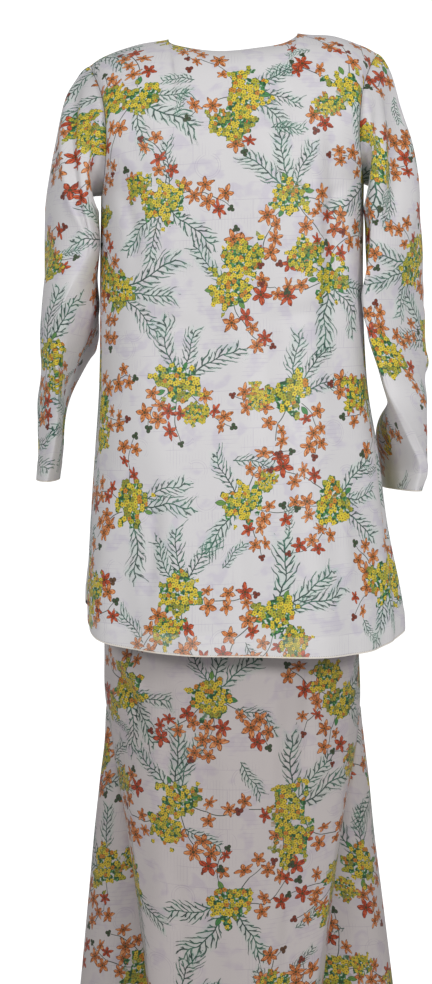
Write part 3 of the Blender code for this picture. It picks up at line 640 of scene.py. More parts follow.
class Cloth:
    """One piece of cloth: its grid of outer points, from its lower edge up, and how it is made.

    A hole is (first row, column): the cells of that column are left open from that row up. base is
    the row from which the print's height is measured. hems are the free edges with a turned hem.
    The pieces of the skirt hang under the tunic: they lie a little deeper where it covers them, and their
    print is darkened by a painted shade.
    """

    def __init__(
        self, name, points, sewn, base, closed=False, hole=None, thick=CLOTH, hems=(), under=False
    ):
        self.name, self.points, self.sewn, self.base = name, points, sewn, base
        self.closed, self.hole, self.thick, self.hems, self.under = closed, hole, thick, hems, under

    def wrapped(self):
        """The points, with the first column again at the end of a closed piece."""
        return np.concatenate([self.points, self.points[:, :1]], axis=1) if self.closed else self.points

    def normals(self):
        """Outward directions at the grid's points."""
        points = self.points
        if self.closed:
            across = np.roll(points, -1, axis=1) - np.roll(points, 1, axis=1)
        else:
            across = np.gradient(points, axis=1)
        facing = unit(np.cross(across, np.gradient(points, axis=0)))
        middle = points.mean(axis=1, keepdims=True) if self.closed else np.zeros(3)
        away = (points - middle) * (1, 1, 0)
        return facing if (facing * away).sum() > 0 else -facing

    def flat(self):
        """Where each point lies on the flat cloth: across from the middle, and up from the base."""
        points = self.wrapped()
        if self.closed:
            lengths = steps_along(points, 1)
            whole = lengths.sum(axis=1, keepdims=True)
            cap = np.arange(len(points)) < self.base
            lengths[cap] *= whole[self.base] / whole[cap]
        else:
            steps = np.diff(points, axis=1)
            lengths = np.hypot(steps[..., 0], steps[..., 1])
        across = running(lengths, 1)
        middle = across.shape[1] // (4 if self.closed else 2)
        across = across - across[:, middle : middle + 1]
        up = running(steps_along(points, 0), 0)
        up = up - up[self.base]
        return np.stack([across, -up if self.closed and points[0, 0, 2] > points[-1, 0, 2] else up], -1)

    def edge_distance(self, names):
        """Each point's distance along the cloth to the nearest of the named edges."""
        points = self.wrapped()
        far = np.full(points.shape[:2], FAR)
        up, across = running(steps_along(points, 0), 0), running(steps_along(points, 1), 1)
        ways = {"bottom": up, "top": up[-1:] - up, "left": across, "right": across[:, -1:] - across}
        for name in names:
            far = np.minimum(far, ways[name])
        return far[:, : self.points.shape[1]]


def crease_height(creases, x, drop, round_length=None):
    """How far the finer creases lift the cloth. On a tube x is the share round its length."""
    lift = np.zeros_like(x)
    for crease in creases:
        dx, run_x = x - crease.x0, crease.x1 - crease.x0
        if round_length:
            dx, run_x = ((dx + 0.5) % 1 - 0.5) * round_length, run_x * round_length
        run = np.array([run_x, crease.drop1 - crease.drop0])
        length = np.hypot(*run)
        run /= length
        dz = drop - crease.drop0
        t = (dx * run[0] + dz * run[1]) / length
        across = (dx * run[1] - dz * run[0] - 4 * crease.bow * t * (1 - t)) / crease.width
        profile = np.exp(-1.4 * (np.hypot(across, 0.25) - 0.25)) if crease.crisp else np.exp(-(across**2))
        lift += crease.height * profile * ease(t, 0.0, 0.3) * (1 - ease(t, 0.7, 1.0))
    return lift


def undulation(flat, seed):
    """Slight unevenness of hanging cloth, about a millimetre, as a sum of long waves."""
    draw = np.random.default_rng(seed)
    lift = np.zeros(flat.shape[:2])
    for _ in range(WAVES):
        length = draw.uniform(0.055, 0.160)
        turn = draw.uniform(-0.6, 0.6)
        phase = draw.uniform(0, 2 * math.pi)
        wave = flat[..., 0] * math.cos(turn) + 0.45 * flat[..., 1] * math.sin(turn)
        lift += WAVE_HEIGHT * np.sin(2 * math.pi * wave / length + phase)
    return lift


# The print, in millimetres of flat cloth. A layer's motifs never meet one another: each has a
# length along its own direction (0 for a round one) and a reach round that line. A family has one
# layer for each letter.
Family = namedtuple("Family", "letters length reach")
FAMILIES = {
    "sprig": Family("abc", 80, 17),
    "twig": Family("ab", 30, 5),
    "leaf": Family("a", 14, 4),
    "bloom": Family("abcd", 0, 15),
    "cluster": Family("ab", 0, 38),
    "bud": Family("a", 0, 6.5),
}
LAYERS = {
    family + "_" + letter: kind for family, kind in FAMILIES.items() for letter in kind.letters
}
CLOTH_MARGIN = 4.0
SPRAYS_APART_ACROSS = 150.0
SPRAYS_APART_UP = 138.0
SPRAY_WANDER = 20
ROOM_FOR_LONE_SPRIG = 16000
PRINT_BORDER = 60
FLORETS_APART = 6.4
BRANCHES_APART = 9.6
STITCH_LENGTH = 3.1
STITCH_FROM_EDGE = 2.4

Motif = namedtuple("Motif", "x y turn size variant squash")


def away(x, y, turn, reach):
    """The point at a reach from another, in a direction."""
    return x + reach * math.cos(turn), y + reach * math.sin(turn)


def spine(motif, length):
    """Points along a motif's own line."""
    reach = np.linspace(0, length * motif.size, 7 if length else 1)
    return np.stack([motif.x + reach * math.cos(motif.turn), motif.y + reach * math.sin(motif.turn)], -1)


class Print:
    """The print on one piece of cloth, laid out at random from its own seed."""

    def __init__(self, flat, seed):
        self.draw = np.random.default_rng(seed)
        self.low = flat.reshape(-1, 2).min(axis=0) / MM - PRINT_BORDER
        self.high = flat.reshape(-1, 2).max(axis=0) / MM + PRINT_BORDER
        self.motifs = {name: [] for name in LAYERS}
        self.lines = {name: [] for name in LAYERS}
        self.lay_out()

    def put(self, family, x, y, turn=0.0, size=1.0, squash=1.0):
        """Adds a motif to the first layer of its family that has room for it."""
        motif = Motif(x, y, turn, size, self.draw.random(), squash)
        for letter in FAMILIES[family].letters:
            name = family + "_" + letter
            line = spine(motif, LAYERS[name].length)
            if self.has_room(name, line, size):
                self.motifs[name].append(motif)
                self.lines[name].append(line)
                return

    def has_room(self, name, line, size):
        """Whether a motif on this line stays clear of the layer's others."""
        if not self.lines[name]:
            return True
        gaps = np.array(self.lines[name])[:, :, None] - line
        apart = np.hypot(gaps[..., 0], gaps[..., 1]).min(axis=(1, 2))
        sizes = np.array([other.size for other in self.motifs[name]])
        return bool((apart > LAYERS[name].reach * (size + sizes) + CLOTH_MARGIN).all())

    def bloom(self, x, y, heading, side):
        """A bloom a little to one side of a twig, some of them half turned away."""
        draw = self.draw
        turn = heading + side * draw.uniform(0.9, 1.8)
        squash = draw.uniform(0.58, 0.85) if draw.random() < 0.5 else 1.0
        x, y = away(x, y, turn, draw.uniform(6, 13))
        self.put("bloom", x, y, draw.uniform(0, 6.28), draw.uniform(0.72, 1.04), squash)

    def branch(self, x, y, heading, steps):
        """A twig that carries blooms on both sides and ends in buds."""
        draw = self.draw
        curl = draw.uniform(0.10, 0.50) * draw.choice([-1, 1])
        side = draw.choice([-1, 1])
        for _ in range(steps):
            step = draw.uniform(19, 26)
            self.put("twig", x, y, heading, step / FAMILIES["twig"].length)
            x, y = away(x, y, heading, step)
            self.bloom(x, y, heading, side)
            if draw.random() < 0.70:
                self.bloom(x, y, heading, -side)
            side = -side
            heading += curl + draw.uniform(-0.15, 0.15)
        self.put("twig", x, y, heading, 0.62)
        x, y = away(x, y, heading, 18)
        self.put("bud", x, y, heading, draw.uniform(0.85, 1.1))
        self.put("bud", *away(x, y, heading + 0.9, 12), heading, 0.8)

    def spray(self, x, y):
        """One bunch: florets, a fan of bushy sprigs, and branches with blooms."""
        draw = self.draw
        start = draw.uniform(0, 2 * math.pi)
        self.put("cluster", x, y, 0.0, draw.uniform(0.84, 1.04))
        turn = start + draw.uniform(1.5, 4.6)
        if draw.random() < 0.8:
            self.put("cluster", *away(x, y, turn, 46), 0.0, draw.uniform(0.5, 0.9))
        for i in range(3):
            turn = start + i * 2.1 + draw.uniform(-0.3, 0.3)
            self.put("leaf", *away(x, y, turn, 20), turn, draw.uniform(0.8, 1.1))
        for i in range(4):
            turn = start - 0.9 + i * 0.62 + draw.uniform(-0.12, 0.12)
            self.put("sprig", *away(x, y, turn, 14), turn, draw.uniform(0.78, 1.10))
        for i in range(3):
            turn = start + 2.1 + i * 1.05 + draw.uniform(-0.25, 0.25)
            self.branch(*away(x, y, turn, 17), turn, draw.integers(2, 4))

    def lay_out(self):
        """Sprays on a loose staggered grid, then lone sprigs where room is left."""
        draw = self.draw
        row, y = 0, self.low[1]
        while y < self.high[1]:
            x = self.low[0] + (0.5 * SPRAYS_APART_ACROSS if row % 2 else 0.0)
            while x < self.high[0]:
                wander = draw.uniform(-SPRAY_WANDER, SPRAY_WANDER, 2)
                self.spray(x + wander[0], y + wander[1])
                x += SPRAYS_APART_ACROSS
            y, row = y + SPRAYS_APART_UP, row + 1
        area = float(np.prod(self.high - self.low))
        for _ in range(int(area / ROOM_FOR_LONE_SPRIG)):
            x, y = draw.uniform(self.low, self.high)
            self.put("sprig", x, y, draw.uniform(0, 6.28), draw.uniform(0.5, 0.8))

    def local(self, name, corners):
        """Each cell's corners in the coordinates of the motif of the layer that is nearest to it."""
        layer, found = LAYERS[name], self.motifs[name]
        result = np.full(corners.shape[:2] + (3,), FAR, np.float32)
        if not found:
            return result
        centre = corners.mean(axis=1)
        table = np.array(found)
        cos, sin = np.cos(table[:, 2]), np.sin(table[:, 2])
        dx = centre[:, None, 0] - table[None, :, 0]
        dy = centre[:, None, 1] - table[None, :, 1]
        along = dx * cos + dy * sin
        across = dy * cos - dx * sin
        beyond = along - np.clip(along, 0, layer.length * table[:, 3])
        distance = np.hypot(beyond, across) / table[:, 3]
        nearest = distance.argmin(axis=1)
        near = distance[np.arange(len(centre)), nearest] < layer.reach + 2 * CLOTH_MARGIN
        x, y, turn, size, variant, squash = table[nearest].T[:, :, None]
        dx, dy = corners[..., 0] - x, corners[..., 1] - y
        cos, sin = np.cos(turn), np.sin(turn)
        result[..., 0] = (dx * cos + dy * sin) / (size * squash)
        result[..., 1] = (dy * cos - dx * sin) / size
        result[..., 2] = variant
        result[~near] = FAR
        return result


# Colours, as the eye sees them in the photograph's light
def shade(text):
    """A linear colour from its six hexadecimal digits."""
    parts = [int(text[i : i + 2], 16) / 255 for i in (0, 2, 4)]
    return tuple(((c + 0.055) / 1.055) ** 2.4 if c > 0.04045 else c / 12.92 for c in parts) + (1.0,)


GROUND = shade("dcdadb")
# A warm grey that darkens the skirt's pieces as a painted shade
SKIRT_PAINTED_SHADE = shade("dfd8d5")
# The wrong side's grey, darkened further as a painted shade on the inner faces
WRONG_SIDE_SHADED = shade("a69ca3")
# Painted highlight along the hem's folded edge
HEM_EDGE_HIGHLIGHT = shade("ece4d8")
LILAC = shade("b9aecb")
HAIRLINE = shade("aba1b8")
MINT = shade("b4dac8")
NEEDLE = shade("2f6653")
NEEDLE_DARK = shade("1c3d35")
TWIG = shade("2b3d2e")
LEAF = shade("4d8f52")
LEAF_DARK = shade("2c5638")
ORANGE = shade("d87b3c")
ORANGE_LIGHT = shade("eba871")
RUST = shade("bf4526")
RUST_LIGHT = shade("d66b42")
INK = shade("3f2a1d")
YELLOW = shade("e2cc3f")
YELLOW_GREEN = shade("b3b43c")
AMBER = shade("cf8a32")
OLIVE = shade("8f963c")
FLORET_INK = shade("554a1e")
FLORET_EYE = shade("8a5a1e")
BUD_GREEN = shade("3e5238")
BUD_RED = shade("7d3a2b")
STAMEN = shade("45401f")
LEAF_LIGHT = shade("6f9a4a")
GROUND_DARK = shade("d3cfd3")
GHOST = shade("8b8574")
GHOST_LIGHT = shade("b4a596")
# Painted sheen on the hem band
HEM_PAINTED_SHEEN = shade("f8f6f4")
STITCH = shade("8d7f72")
SHELL = shade("ddd2c4")
SHELL_DARK = shade("c3b3a4")
SHELL_LIGHT = shade("eee8e2")
CORD = shade("e6e0da")
CORD_DARK = shade("bdb3ac")
PAPER = shade("f4f4f4")
PAPER_DARK = shade("efefef")
WHITE = (1.0, 1.0, 1.0, 1.0)


def feed(node, values):
    """Sets a node's inputs, by name or number, to constants or to what other nodes work out."""
    for name, value in values.items():
        slot = node.inputs[name.replace("_", " ") if isinstance(name, str) else name]
        value = getattr(value, "socket", value)
        if isinstance(value, bpy.types.NodeSocket):
            node.id_data.links.new(value, slot)
        else:
            slot.default_value = value


class Signal:
    """A number that a material works out at each point of the surface."""

    def __init__(self, socket):
        self.socket = socket

    def math(self, operation, *others, clamp=False):
        node = self.socket.id_data.nodes.new("ShaderNodeMath")
        node.operation, node.use_clamp = operation, clamp
        feed(node, dict(enumerate((self, *others))))
        return Signal(node.outputs[0])

    def clamped(self):
        return self.math("MULTIPLY", 1.0, clamp=True)

    def fract(self):
        return self.math("FRACT")

    def sine(self):
        return self.math("SINE")

    def cosine(self):
        return self.math("COSINE")

    def __add__(self, other):
        return self.math("ADD", other)

    def __sub__(self, other):
        return self.math("SUBTRACT", other)

    def __mul__(self, other):
        return self.math("MULTIPLY", other)

    def __truediv__(self, other):
        return self.math("DIVIDE", other)

    def __pow__(self, other):
        return self.math("POWER", other)

    def __abs__(self):
        return self.math("ABSOLUTE")

    def under(self, limit, soft=0.25):
        """1 where this is under the limit and 0 where it is over, with a soft edge."""
        gap = (self * -1.0) + limit
        return (gap / soft + 0.5).clamped()

    def over(self, limit, soft=0.25):
        return ((self - limit) / soft + 0.5).clamped()

    def either(self, other):
        return self.math("MAXIMUM", other)


class Shader:
    """Builds one material's nodes."""

    def __init__(self, name):
        self.material = bpy.data.materials.new(name)
        self.material.use_nodes = True
        self.surface = self.material.node_tree.nodes["Principled BSDF"]

    def node(self, kind, **values):
        node = self.material.node_tree.nodes.new("ShaderNode" + kind)
        feed(node, values)
        return node

    def finish(self, **values):
        """Sets the surface's own inputs."""
        feed(self.surface, values)
        return self.material

    def relief(self, height, strength, distance):
        bump = self.node("Bump", Strength=strength, Distance=distance, Height=height)
        self.finish(Normal=bump.outputs[0])

    def split(self, vector):
        return [Signal(part) for part in self.node("SeparateXYZ", Vector=vector).outputs]

    def attribute(self, name):
        """The three numbers of a named attribute."""
        node = self.node("Attribute")
        node.attribute_name = name
        return self.split(node.outputs["Vector"])

    def coordinates(self):
        """The surface's place on the object, in metres."""
        return self.node("TexCoord").outputs["Object"]

    def vector(self, x, y, z=0.0):
        return self.node("CombineXYZ", X=x, Y=y, Z=z).outputs[0]

    def noise(self, vector, scale, detail=1.0):
        return Signal(self.node("TexNoise", Vector=vector, Scale=scale, Detail=detail).outputs["Fac"])

    def chance(self, vector):
        """A random number for each vector, the same wherever it comes again."""
        return Signal(self.node("TexWhiteNoise", Vector=vector).outputs["Value"])

    def florets(self, vector, scale):
        """The middle of the nearest cell of a random pattern of cells."""
        node = self.node("TexVoronoi", Vector=vector, Scale=scale, Randomness=0.85)
        node.voronoi_dimensions = "2D"
        return self.split(node.outputs["Position"])[:2]

    def bricks(self, vector, scale, width, height):
        """The joints of a running bond, as thin lines."""
        node = self.node("TexBrick", Vector=vector, Scale=scale, Brick_Width=width, Row_Height=height)
        feed(node, {"Mortar Size": 0.28 * scale, "Mortar Smooth": 0.3})
        return Signal(node.outputs["Fac"])

    def paint(self, below, share, above, blend="MIX"):
        """The colour above laid over the one below by a share."""
        node = self.node("Mix")
        node.data_type, node.blend_type = "RGBA", blend
        feed(node, {0: share, 6: below, 7: above})
        return node.outputs[2]

    def layers(self, below, *above):
        """Pairs of a share and a colour laid over one another in turn."""
        for share, colour in above:
            below = self.paint(below, share, colour)
        return below


def polar(x, y):
    return (x * x + y * y) ** 0.5, y.math("ARCTAN2", x)


def paint_sprig(shader, colour, name):
    """A bushy sprig: a bent stem with forked branches that curve towards its tip."""
    x, y, variant = shader.attribute(name)
    length = LAYERS[name].length
    place = shader.vector(x, y, variant * 40.0)
    bend = (shader.noise(shader.vector(x * 0.022, variant * 50.0), 1.0, 0.0) - 0.5) * 40.0
    sway = shader.noise(place, 0.050, 1.0) - 0.5
    y = y - bend * (x / length).clamped() + sway * 7.0
    x = x + (shader.noise(place, 0.068, 1.0) - 0.5) * 11.0
    height, side = abs(y), y.math("SIGN")
    root = x - height * (height * 0.030 + 0.85) + side * 2.3
    step = BRANCHES_APART
    luck = shader.chance(shader.vector((root / step).math("FLOOR"), side, variant))
    off = ((root / step).fract() - 0.5 + (luck - 0.5) * 0.30) * step
    share = (root / length).clamped()
    envelope = (share * (share * -1.0 + 1.0) * 4.0) ** 0.4 * 11.0 + 4.0
    inside = root.over(0.0) * root.under(length - 2.0)
    other_luck = (luck * 5.7).fract()
    grown = height / (envelope * (other_luck * 0.60 + 0.60))
    branches = (abs(off) * 0.66).under(0.80, 0.4)
    rise = height - (other_luck * 3.0 + 3.0)
    fork = (abs(off + rise * 0.85) * 0.74).under(0.70, 0.4) * rise.over(0.0) * rise.under(5.0)
    ink = branches.either(fork) * grown.under(1.0, 0.06) * inside
    stem = height.under(0.85, 0.4) * x.over(0.0) * x.under(length - 4.0)
    tint = height.under(envelope * 0.9, 6.0) * inside * shader.noise(place, 0.05).over(0.46, 0.14)
    colour = shader.paint(colour, tint * 0.26, MINT)
    green = shader.paint(NEEDLE, shader.noise(place, 0.09).over(0.5, 0.16), NEEDLE_DARK)
    return shader.paint(colour, ink.either(stem) * 0.95, green)


def paint_twig(shader, colour, name):
    """A thin bowed stem between blooms."""
    x, y, variant = shader.attribute(name)
    share = x / LAYERS[name].length
    bow = share * (share * -1.0 + 1.0) * (variant - 0.5) * 22.0
    line = abs(y - bow).under(0.72, 0.35) * share.over(0.0, 0.05) * share.under(1.0, 0.05)
    return shader.paint(colour, line * 0.95, TWIG)


def paint_leaf(shader, colour, name):
    """A small pointed leaf with a dark edge and a middle vein."""
    x, y, variant = shader.attribute(name)
    share = x / LAYERS[name].length
    half = share * (share * -1.0 + 1.0) * 4.0 * 3.6
    inside = abs(y).under(half, 0.3) * share.over(0.0, 0.02) * share.under(1.0, 0.02)
    edge = abs(y).over(half - 0.75, 0.3).either(abs(y).under(0.28, 0.2))
    fill = shader.paint(LEAF, variant.over(0.5, 0.1), LEAF_LIGHT)
    return shader.paint(colour, inside, shader.paint(fill, edge * 0.85, LEAF_DARK))


def paint_bloom(shader, colour, name):
    """An open flower with five or six pointed petals, veins and dark stamens."""
    x, y, variant = shader.attribute(name)
    r, turn = polar(x, y)
    petals = (variant * 7.0).fract().over(0.62, 0.02).math("ROUND") + 5.0
    half_turn = turn * petals * 0.5
    tip = abs(half_turn.cosine())
    gap = abs(half_turn.sine())
    place = shader.vector(x, y, variant * 60.0)
    wobble = shader.noise(place, 0.12, 2.0)
    reach = (tip ** 0.75 * 0.52 + tip ** 12.0 * 0.14 + 0.34) * 13.6 * (wobble * 0.80 + 0.60)
    inside = r.under(reach, 0.3)
    outline = r.over(reach - 1.15, 0.5)
    streaks = shader.noise(shader.vector(turn * 3.2, r * 0.10, variant * 30.0), 1.6, 2.0)
    vein = (gap * r).under(0.50, 0.3) * r.over(2.6, 0.5) * tip.over(0.5, 0.1) * r.under(9.0, 2.0)
    fold = tip.under(0.34, 0.10) * r.over(2.0, 0.5)
    rusty = variant.under(0.22, 0.01)
    light = shader.paint(ORANGE_LIGHT, rusty, RUST_LIGHT)
    deep = shader.paint(ORANGE, rusty, RUST)
    stamens = abs(r - 4.0).under(0.7, 0.3) * gap.over(0.72, 0.2)
    fill = shader.layers(
        light,
        (streaks.over(0.47, 0.10).either(r.under(6.0, 3.0)), deep),
        (streaks.over(0.56, 0.05) * 0.55, INK),
        (vein.either(fold * 0.8) * 0.70, INK),
        (outline * 0.82, INK),
        (r.under(2.1, 0.4).either(stamens) * 0.9, STAMEN),
    )
    return shader.paint(colour, inside, fill)


def paint_cluster(shader, colour, name):
    """A dense bunch of small yellow florets, with dark outlines and green between them."""
    x, y, variant = shader.attribute(name)
    shift = variant * 300.0
    place = shader.vector(x + shift, y + shift)
    cell_x, cell_y = shader.florets(place, 1 / FLORETS_APART)
    middle_x, middle_y = cell_x - shift, cell_y - shift
    outward = (middle_x * middle_x + middle_y * middle_y) ** 0.5
    lumps = shader.noise(shader.vector(middle_x, middle_y, shift), 0.050, 1.0)
    member = (outward / 33.0 + (lumps - 0.5) * 1.9).under(0.86, 0.01)
    luck = shader.chance(shader.vector(cell_x, cell_y, 1.0))
    more_luck = (luck * 13.0).fract()
    r, turn = polar(x - middle_x, y - middle_y)
    lobes = abs((turn * 2.5 + luck * 6.0).cosine())
    reach = (lobes * 0.34 + 0.66) * (more_luck * 1.2 + 4.0)
    inside = r.under(reach, 0.3)
    tone = luck * 0.45 + shader.noise(shader.vector(middle_x, middle_y, shift), 0.030) * 0.9
    fill = shader.layers(
        YELLOW,
        (tone.over(0.66, 0.03), YELLOW_GREEN),
        (tone.over(0.84, 0.03), OLIVE),
        (luck.over(0.86, 0.01), AMBER),
        (r.over(reach - 0.85, 0.4) * 0.78, FLORET_INK),
        (r.under(1.0, 0.3) * 0.9, FLORET_EYE),
    )
    between = shader.noise(place, 0.20, 1.0)
    return shader.layers(
        colour,
        (member * between.over(0.42, 0.06), LEAF),
        (member * between.over(0.53, 0.05), LEAF_DARK),
        (member * inside * more_luck.under(0.86, 0.01), fill),
    )


def paint_bud(shader, colour, name):
    """A small three-lobed bud."""
    x, y, variant = shader.attribute(name)
    r, turn = polar(x, y)
    reach = (abs((turn * 1.5).cosine()) * 0.5 + 0.5) * 5.8
    fill = shader.paint(BUD_GREEN, variant.over(0.55, 0.02), BUD_RED)
    fill = shader.paint(fill, r.over(reach - 0.7, 0.3).either(r.under(1.3, 0.4)) * 0.8, INK)
    return shader.paint(colour, r.under(reach, 0.3), fill)


PAINTERS = {
    "sprig": paint_sprig,
    "twig": paint_twig,
    "leaf": paint_leaf,
    "bloom": paint_bloom,
    "cluster": paint_cluster,
    "bud": paint_bud,
}


def paint_hairlines(shader, colour, across, up, seed):
    """A faint lilac ground design: hairline rules, boxes and rings in loose patches."""
    x, y = across + seed * 900.0, up + seed * 500.0
    place = shader.vector(x, y)
    boxes = shader.bricks(place, 1 / 41.0, 1.3, 0.62)
    cell_x, cell_y = shader.florets(place, 1 / 52.0)
    luck = shader.chance(shader.vector(cell_x, cell_y, 2.0))
    r, turn = polar(x - cell_x, y - cell_y)
    rings = abs(r - (luck * 9.0 + 6.0)).under(0.22, 0.3).either(abs(r - (luck * 9.0 + 9.0)).under(0.22, 0.3))
    level = abs((y / 5.6).fract() - 0.5).under(0.035, 0.05)
    upright = abs((x / 4.3).fract() - 0.5).under(0.045, 0.06)
    wide = shader.noise(place, 0.011)
    fine = shader.noise(place, 0.031)
    lines = boxes * wide.over(0.53, 0.05) * 0.7
    lines = lines.either(level * wide.under(0.46, 0.05) * fine.over(0.50, 0.05) * 0.6)
    lines = lines.either(upright * wide.over(0.50, 0.05) * fine.under(0.44, 0.04) * 0.5)
    lines = lines.either(rings * luck.over(0.6, 0.1) * fine.over(0.46, 0.04) * 0.8)
    wash = fine.over(0.55, 0.06) * shader.noise(place, 0.06, 2.0).over(0.48, 0.18) * 0.30
    return shader.paint(shader.paint(colour, wash, LILAC), lines * 0.75, HAIRLINE)


def crepe(shader, colour, across, up, roughness, sheen):
    """Satin crepe: a soft shine, and the fine unevenness of its weave as a low relief."""
    grain = shader.noise(shader.vector(across, up), 1.1, 2.0)
    weave = (across * 7.0).sine() * (up * 7.0).sine()
    shader.relief(grain + weave * 0.12, 0.22, 0.00018)
    return shader.finish(
        Base_Color=colour,
        Roughness=(grain - 0.5) * 0.10 + roughness,
        Sheen_Weight=sheen,
        Sheen_Roughness=0.45,
        Specular_IOR_Level=0.35,
        Metallic=0.0,
    )


def print_material():
    """The right side of the cloth: the whole print, the stitched edge at the hems with a painted sheen on
    the hem band and a painted highlight along the edge, and a painted shade over the skirt.
    """
    shader = Shader("printed_crepe")
    across, up, seed = shader.attribute("flat")
    hem, skirt, _ = shader.attribute("hem")
    place = shader.vector(across, up, seed * 10.0)
    tone = shader.noise(place, 0.012, 2.0)
    colour = shader.paint(GROUND, tone.over(0.5, 0.5) * 0.30, GROUND_DARK)
    colour = paint_hairlines(shader, colour, across, up, seed)
    for name in LAYERS:
        colour = PAINTERS[name[:-2]](shader, colour, name)
    stitch = abs((across / STITCH_LENGTH).fract() - 0.5).under(0.24, 0.08)
    stitch = stitch * abs(hem - STITCH_FROM_EDGE).under(0.35, 0.2)
    colour = shader.layers(
        colour,
        # Painted sheen: the hem band is lightened a little
        (hem.under(HEM_BAND / MM, 1.5) * 0.14, HEM_PAINTED_SHEEN),
        # Painted highlight: a cream line along the folded edge and on the rims
        (hem.under(1.9, 0.3) * 0.85, HEM_EDGE_HIGHLIGHT),
        (stitch * 0.55, STITCH),
    )
    # Painted shade: the skirt's pieces, print and all, are darkened towards a warm grey
    colour = shader.paint(colour, skirt, SKIRT_PAINTED_SHADE, "MULTIPLY")
    return crepe(shader, colour, across, up, 0.48, 0.06)


def wrong_side_shaded_material():
    """The wrong side: greyer than the right side, darkened further by a painted shade, with a faint ghost of
    the print.
    """
    shader = Shader("crepe_wrong_side")
    across, up, seed = shader.attribute("flat")
    place = shader.vector(across, up, seed * 10.0)
    ghost = shader.noise(place, 0.05, 2.0).over(0.56, 0.08)
    spots = shader.noise(place, 0.16, 2.0).over(0.58, 0.1)
    colour = shader.layers(WRONG_SIDE_SHADED, (ghost * 0.30, GHOST), (spots * 0.25, GHOST_LIGHT))
    return crepe(shader, colour, across, up, 0.72, 0.05)


def shell_button_material():
    """Polished shell: pale, with cloudy bands."""
    shader = Shader("shell_button")
    coordinates = shader.coordinates()
    clouds = shader.noise(coordinates, 420.0, 3.0)
    bands = shader.noise(coordinates, 1500.0, 2.0)
    colour = shader.layers(
        SHELL, (clouds.over(0.5, 0.3), SHELL_DARK), (bands.over(0.55, 0.2) * 0.35, SHELL_LIGHT)
    )
    return shader.finish(Base_Color=colour, Roughness=(clouds - 0.5) * 0.12 + 0.26, Coat_Weight=0.4)


def cord_material():
    """A thin covered cord with its fine slanting twist."""
    shader = Shader("covered_cord")
    coordinates = shader.coordinates()
    x, _, z = shader.split(coordinates)
    twist = ((x + z) * 9000.0).sine() * 0.5 + 0.5
    fuzz = shader.noise(coordinates, 2600.0, 2.0)
    colour = shader.paint(CORD, twist * 0.45, CORD_DARK)
    shader.relief(twist + fuzz, 0.5, 0.0001)
    return shader.finish(Base_Color=colour, Roughness=fuzz * 0.2 + 0.5)


def shell(cloth, flat, number, creases):
    """A cloth's outer and inner points, with its folds, its seams and its hem, and its normals."""
    normals = cloth.normals()
    size = cloth.points.shape[:2]
    drop = -cloth.points[..., 2]
    if cloth.closed:
        share = np.broadcast_to(np.arange(size[1]) / size[1], size)
        lift = crease_height(creases, share, drop, SLEEVE_ROUND)
    else:
        lift = crease_height(creases, cloth.points[..., 0], drop)
    lift += undulation(flat[:, : size[1]], number)
    to_seam = cloth.edge_distance(cloth.sewn)
    lift *= ease(to_seam, 0.0, CREASE_SEAM_FADE)
    lift -= SEAM_DIP * np.exp(-((to_seam / SEAM_DIP_WIDTH) ** 2))
    to_hem = cloth.edge_distance(cloth.hems)
    lift += HEM_STEP * (1 - ease(to_hem, HEM_BAND - HEM_STEP_WIDTH, HEM_BAND + HEM_STEP_WIDTH))
    if cloth.under:
        lift -= UNDER_TUNIC * (1 - ease(drop, COVERED_TO - COVER_FADE, COVERED_TO))
    outer = cloth.points + normals * lift[..., None]
    inner = outer - normals * cloth.thick
    draw_back(outer, cloth.sewn, SEAM_GAP)
    draw_back(inner, cloth.sewn, SEAM_GAP + cloth.thick)
    return outer, inner, normals


def build(cloth, number, creases, materials):
    """The piece as a closed shell with its print."""
    flat = cloth.flat()
    outer, inner, normals = shell(cloth, flat, number, creases)
    size = outer.shape[:2]
    columns = size[1]

    index = np.arange(columns * size[0]).reshape(size)
    after = np.roll(index, -1, axis=1)
    last = columns if cloth.closed else columns - 1
    cells = np.stack([index[:-1, :last], after[:-1, :last], after[1:, :last], index[1:, :last]], -1)
    spots = np.arange(flat.shape[0] * flat.shape[1]).reshape(flat.shape[:2])
    places = np.stack([spots[:-1, :-1], spots[:-1, 1:], spots[1:, 1:], spots[1:, :-1]], -1)
    keep = np.ones(cells.shape[:2], bool)
    if cloth.hole:
        keep[cloth.hole[0] :, cloth.hole[1]] = False
    cells, places = cells[keep], places[keep]

    corners = outer.reshape(-1, 3)[cells]
    facing = np.cross(corners[:, 2] - corners[:, 0], corners[:, 3] - corners[:, 1])
    if (facing * normals.reshape(-1, 3)[cells[:, 0]]).sum() < 0:
        cells, places = cells[:, ::-1], places[:, ::-1]
    count = index.size
    edges = {}
    for cell in cells.tolist():
        for a, b in zip(cell, cell[1:] + cell[:1]):
            edges[(a, b)] = True
    rims = [(b, a, a + count, b + count) for a, b in edges if (b, a) not in edges]
    faces = np.concatenate([cells, cells[:, ::-1] + count, np.array(rims)])
    used = np.unique(faces)
    renumber = np.full(2 * count, -1)
    renumber[used] = np.arange(len(used))
    points = np.concatenate([outer.reshape(-1, 3), inner.reshape(-1, 3)])[used]
    mesh = bpy.data.meshes.new(cloth.name + "_cloth")
    mesh.from_pydata(points.tolist(), [], renumber[faces].tolist())

    write_print(mesh, cloth, flat, number, cells, places, rims)
    for material in materials:
        mesh.materials.append(material)
    kinds = np.zeros(len(faces), np.int32)
    kinds[len(cells) : 2 * len(cells)] = 1
    mesh.polygons.foreach_set("material_index", kinds)
    mesh.shade_smooth()
    mark_rims(mesh, used, rims)
    obj = bpy.data.objects.new(cloth.name + "_cloth", mesh)
    bpy.context.scene.collection.objects.link(obj)
    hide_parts(cloth.name)
    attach(obj, "root")
    return obj


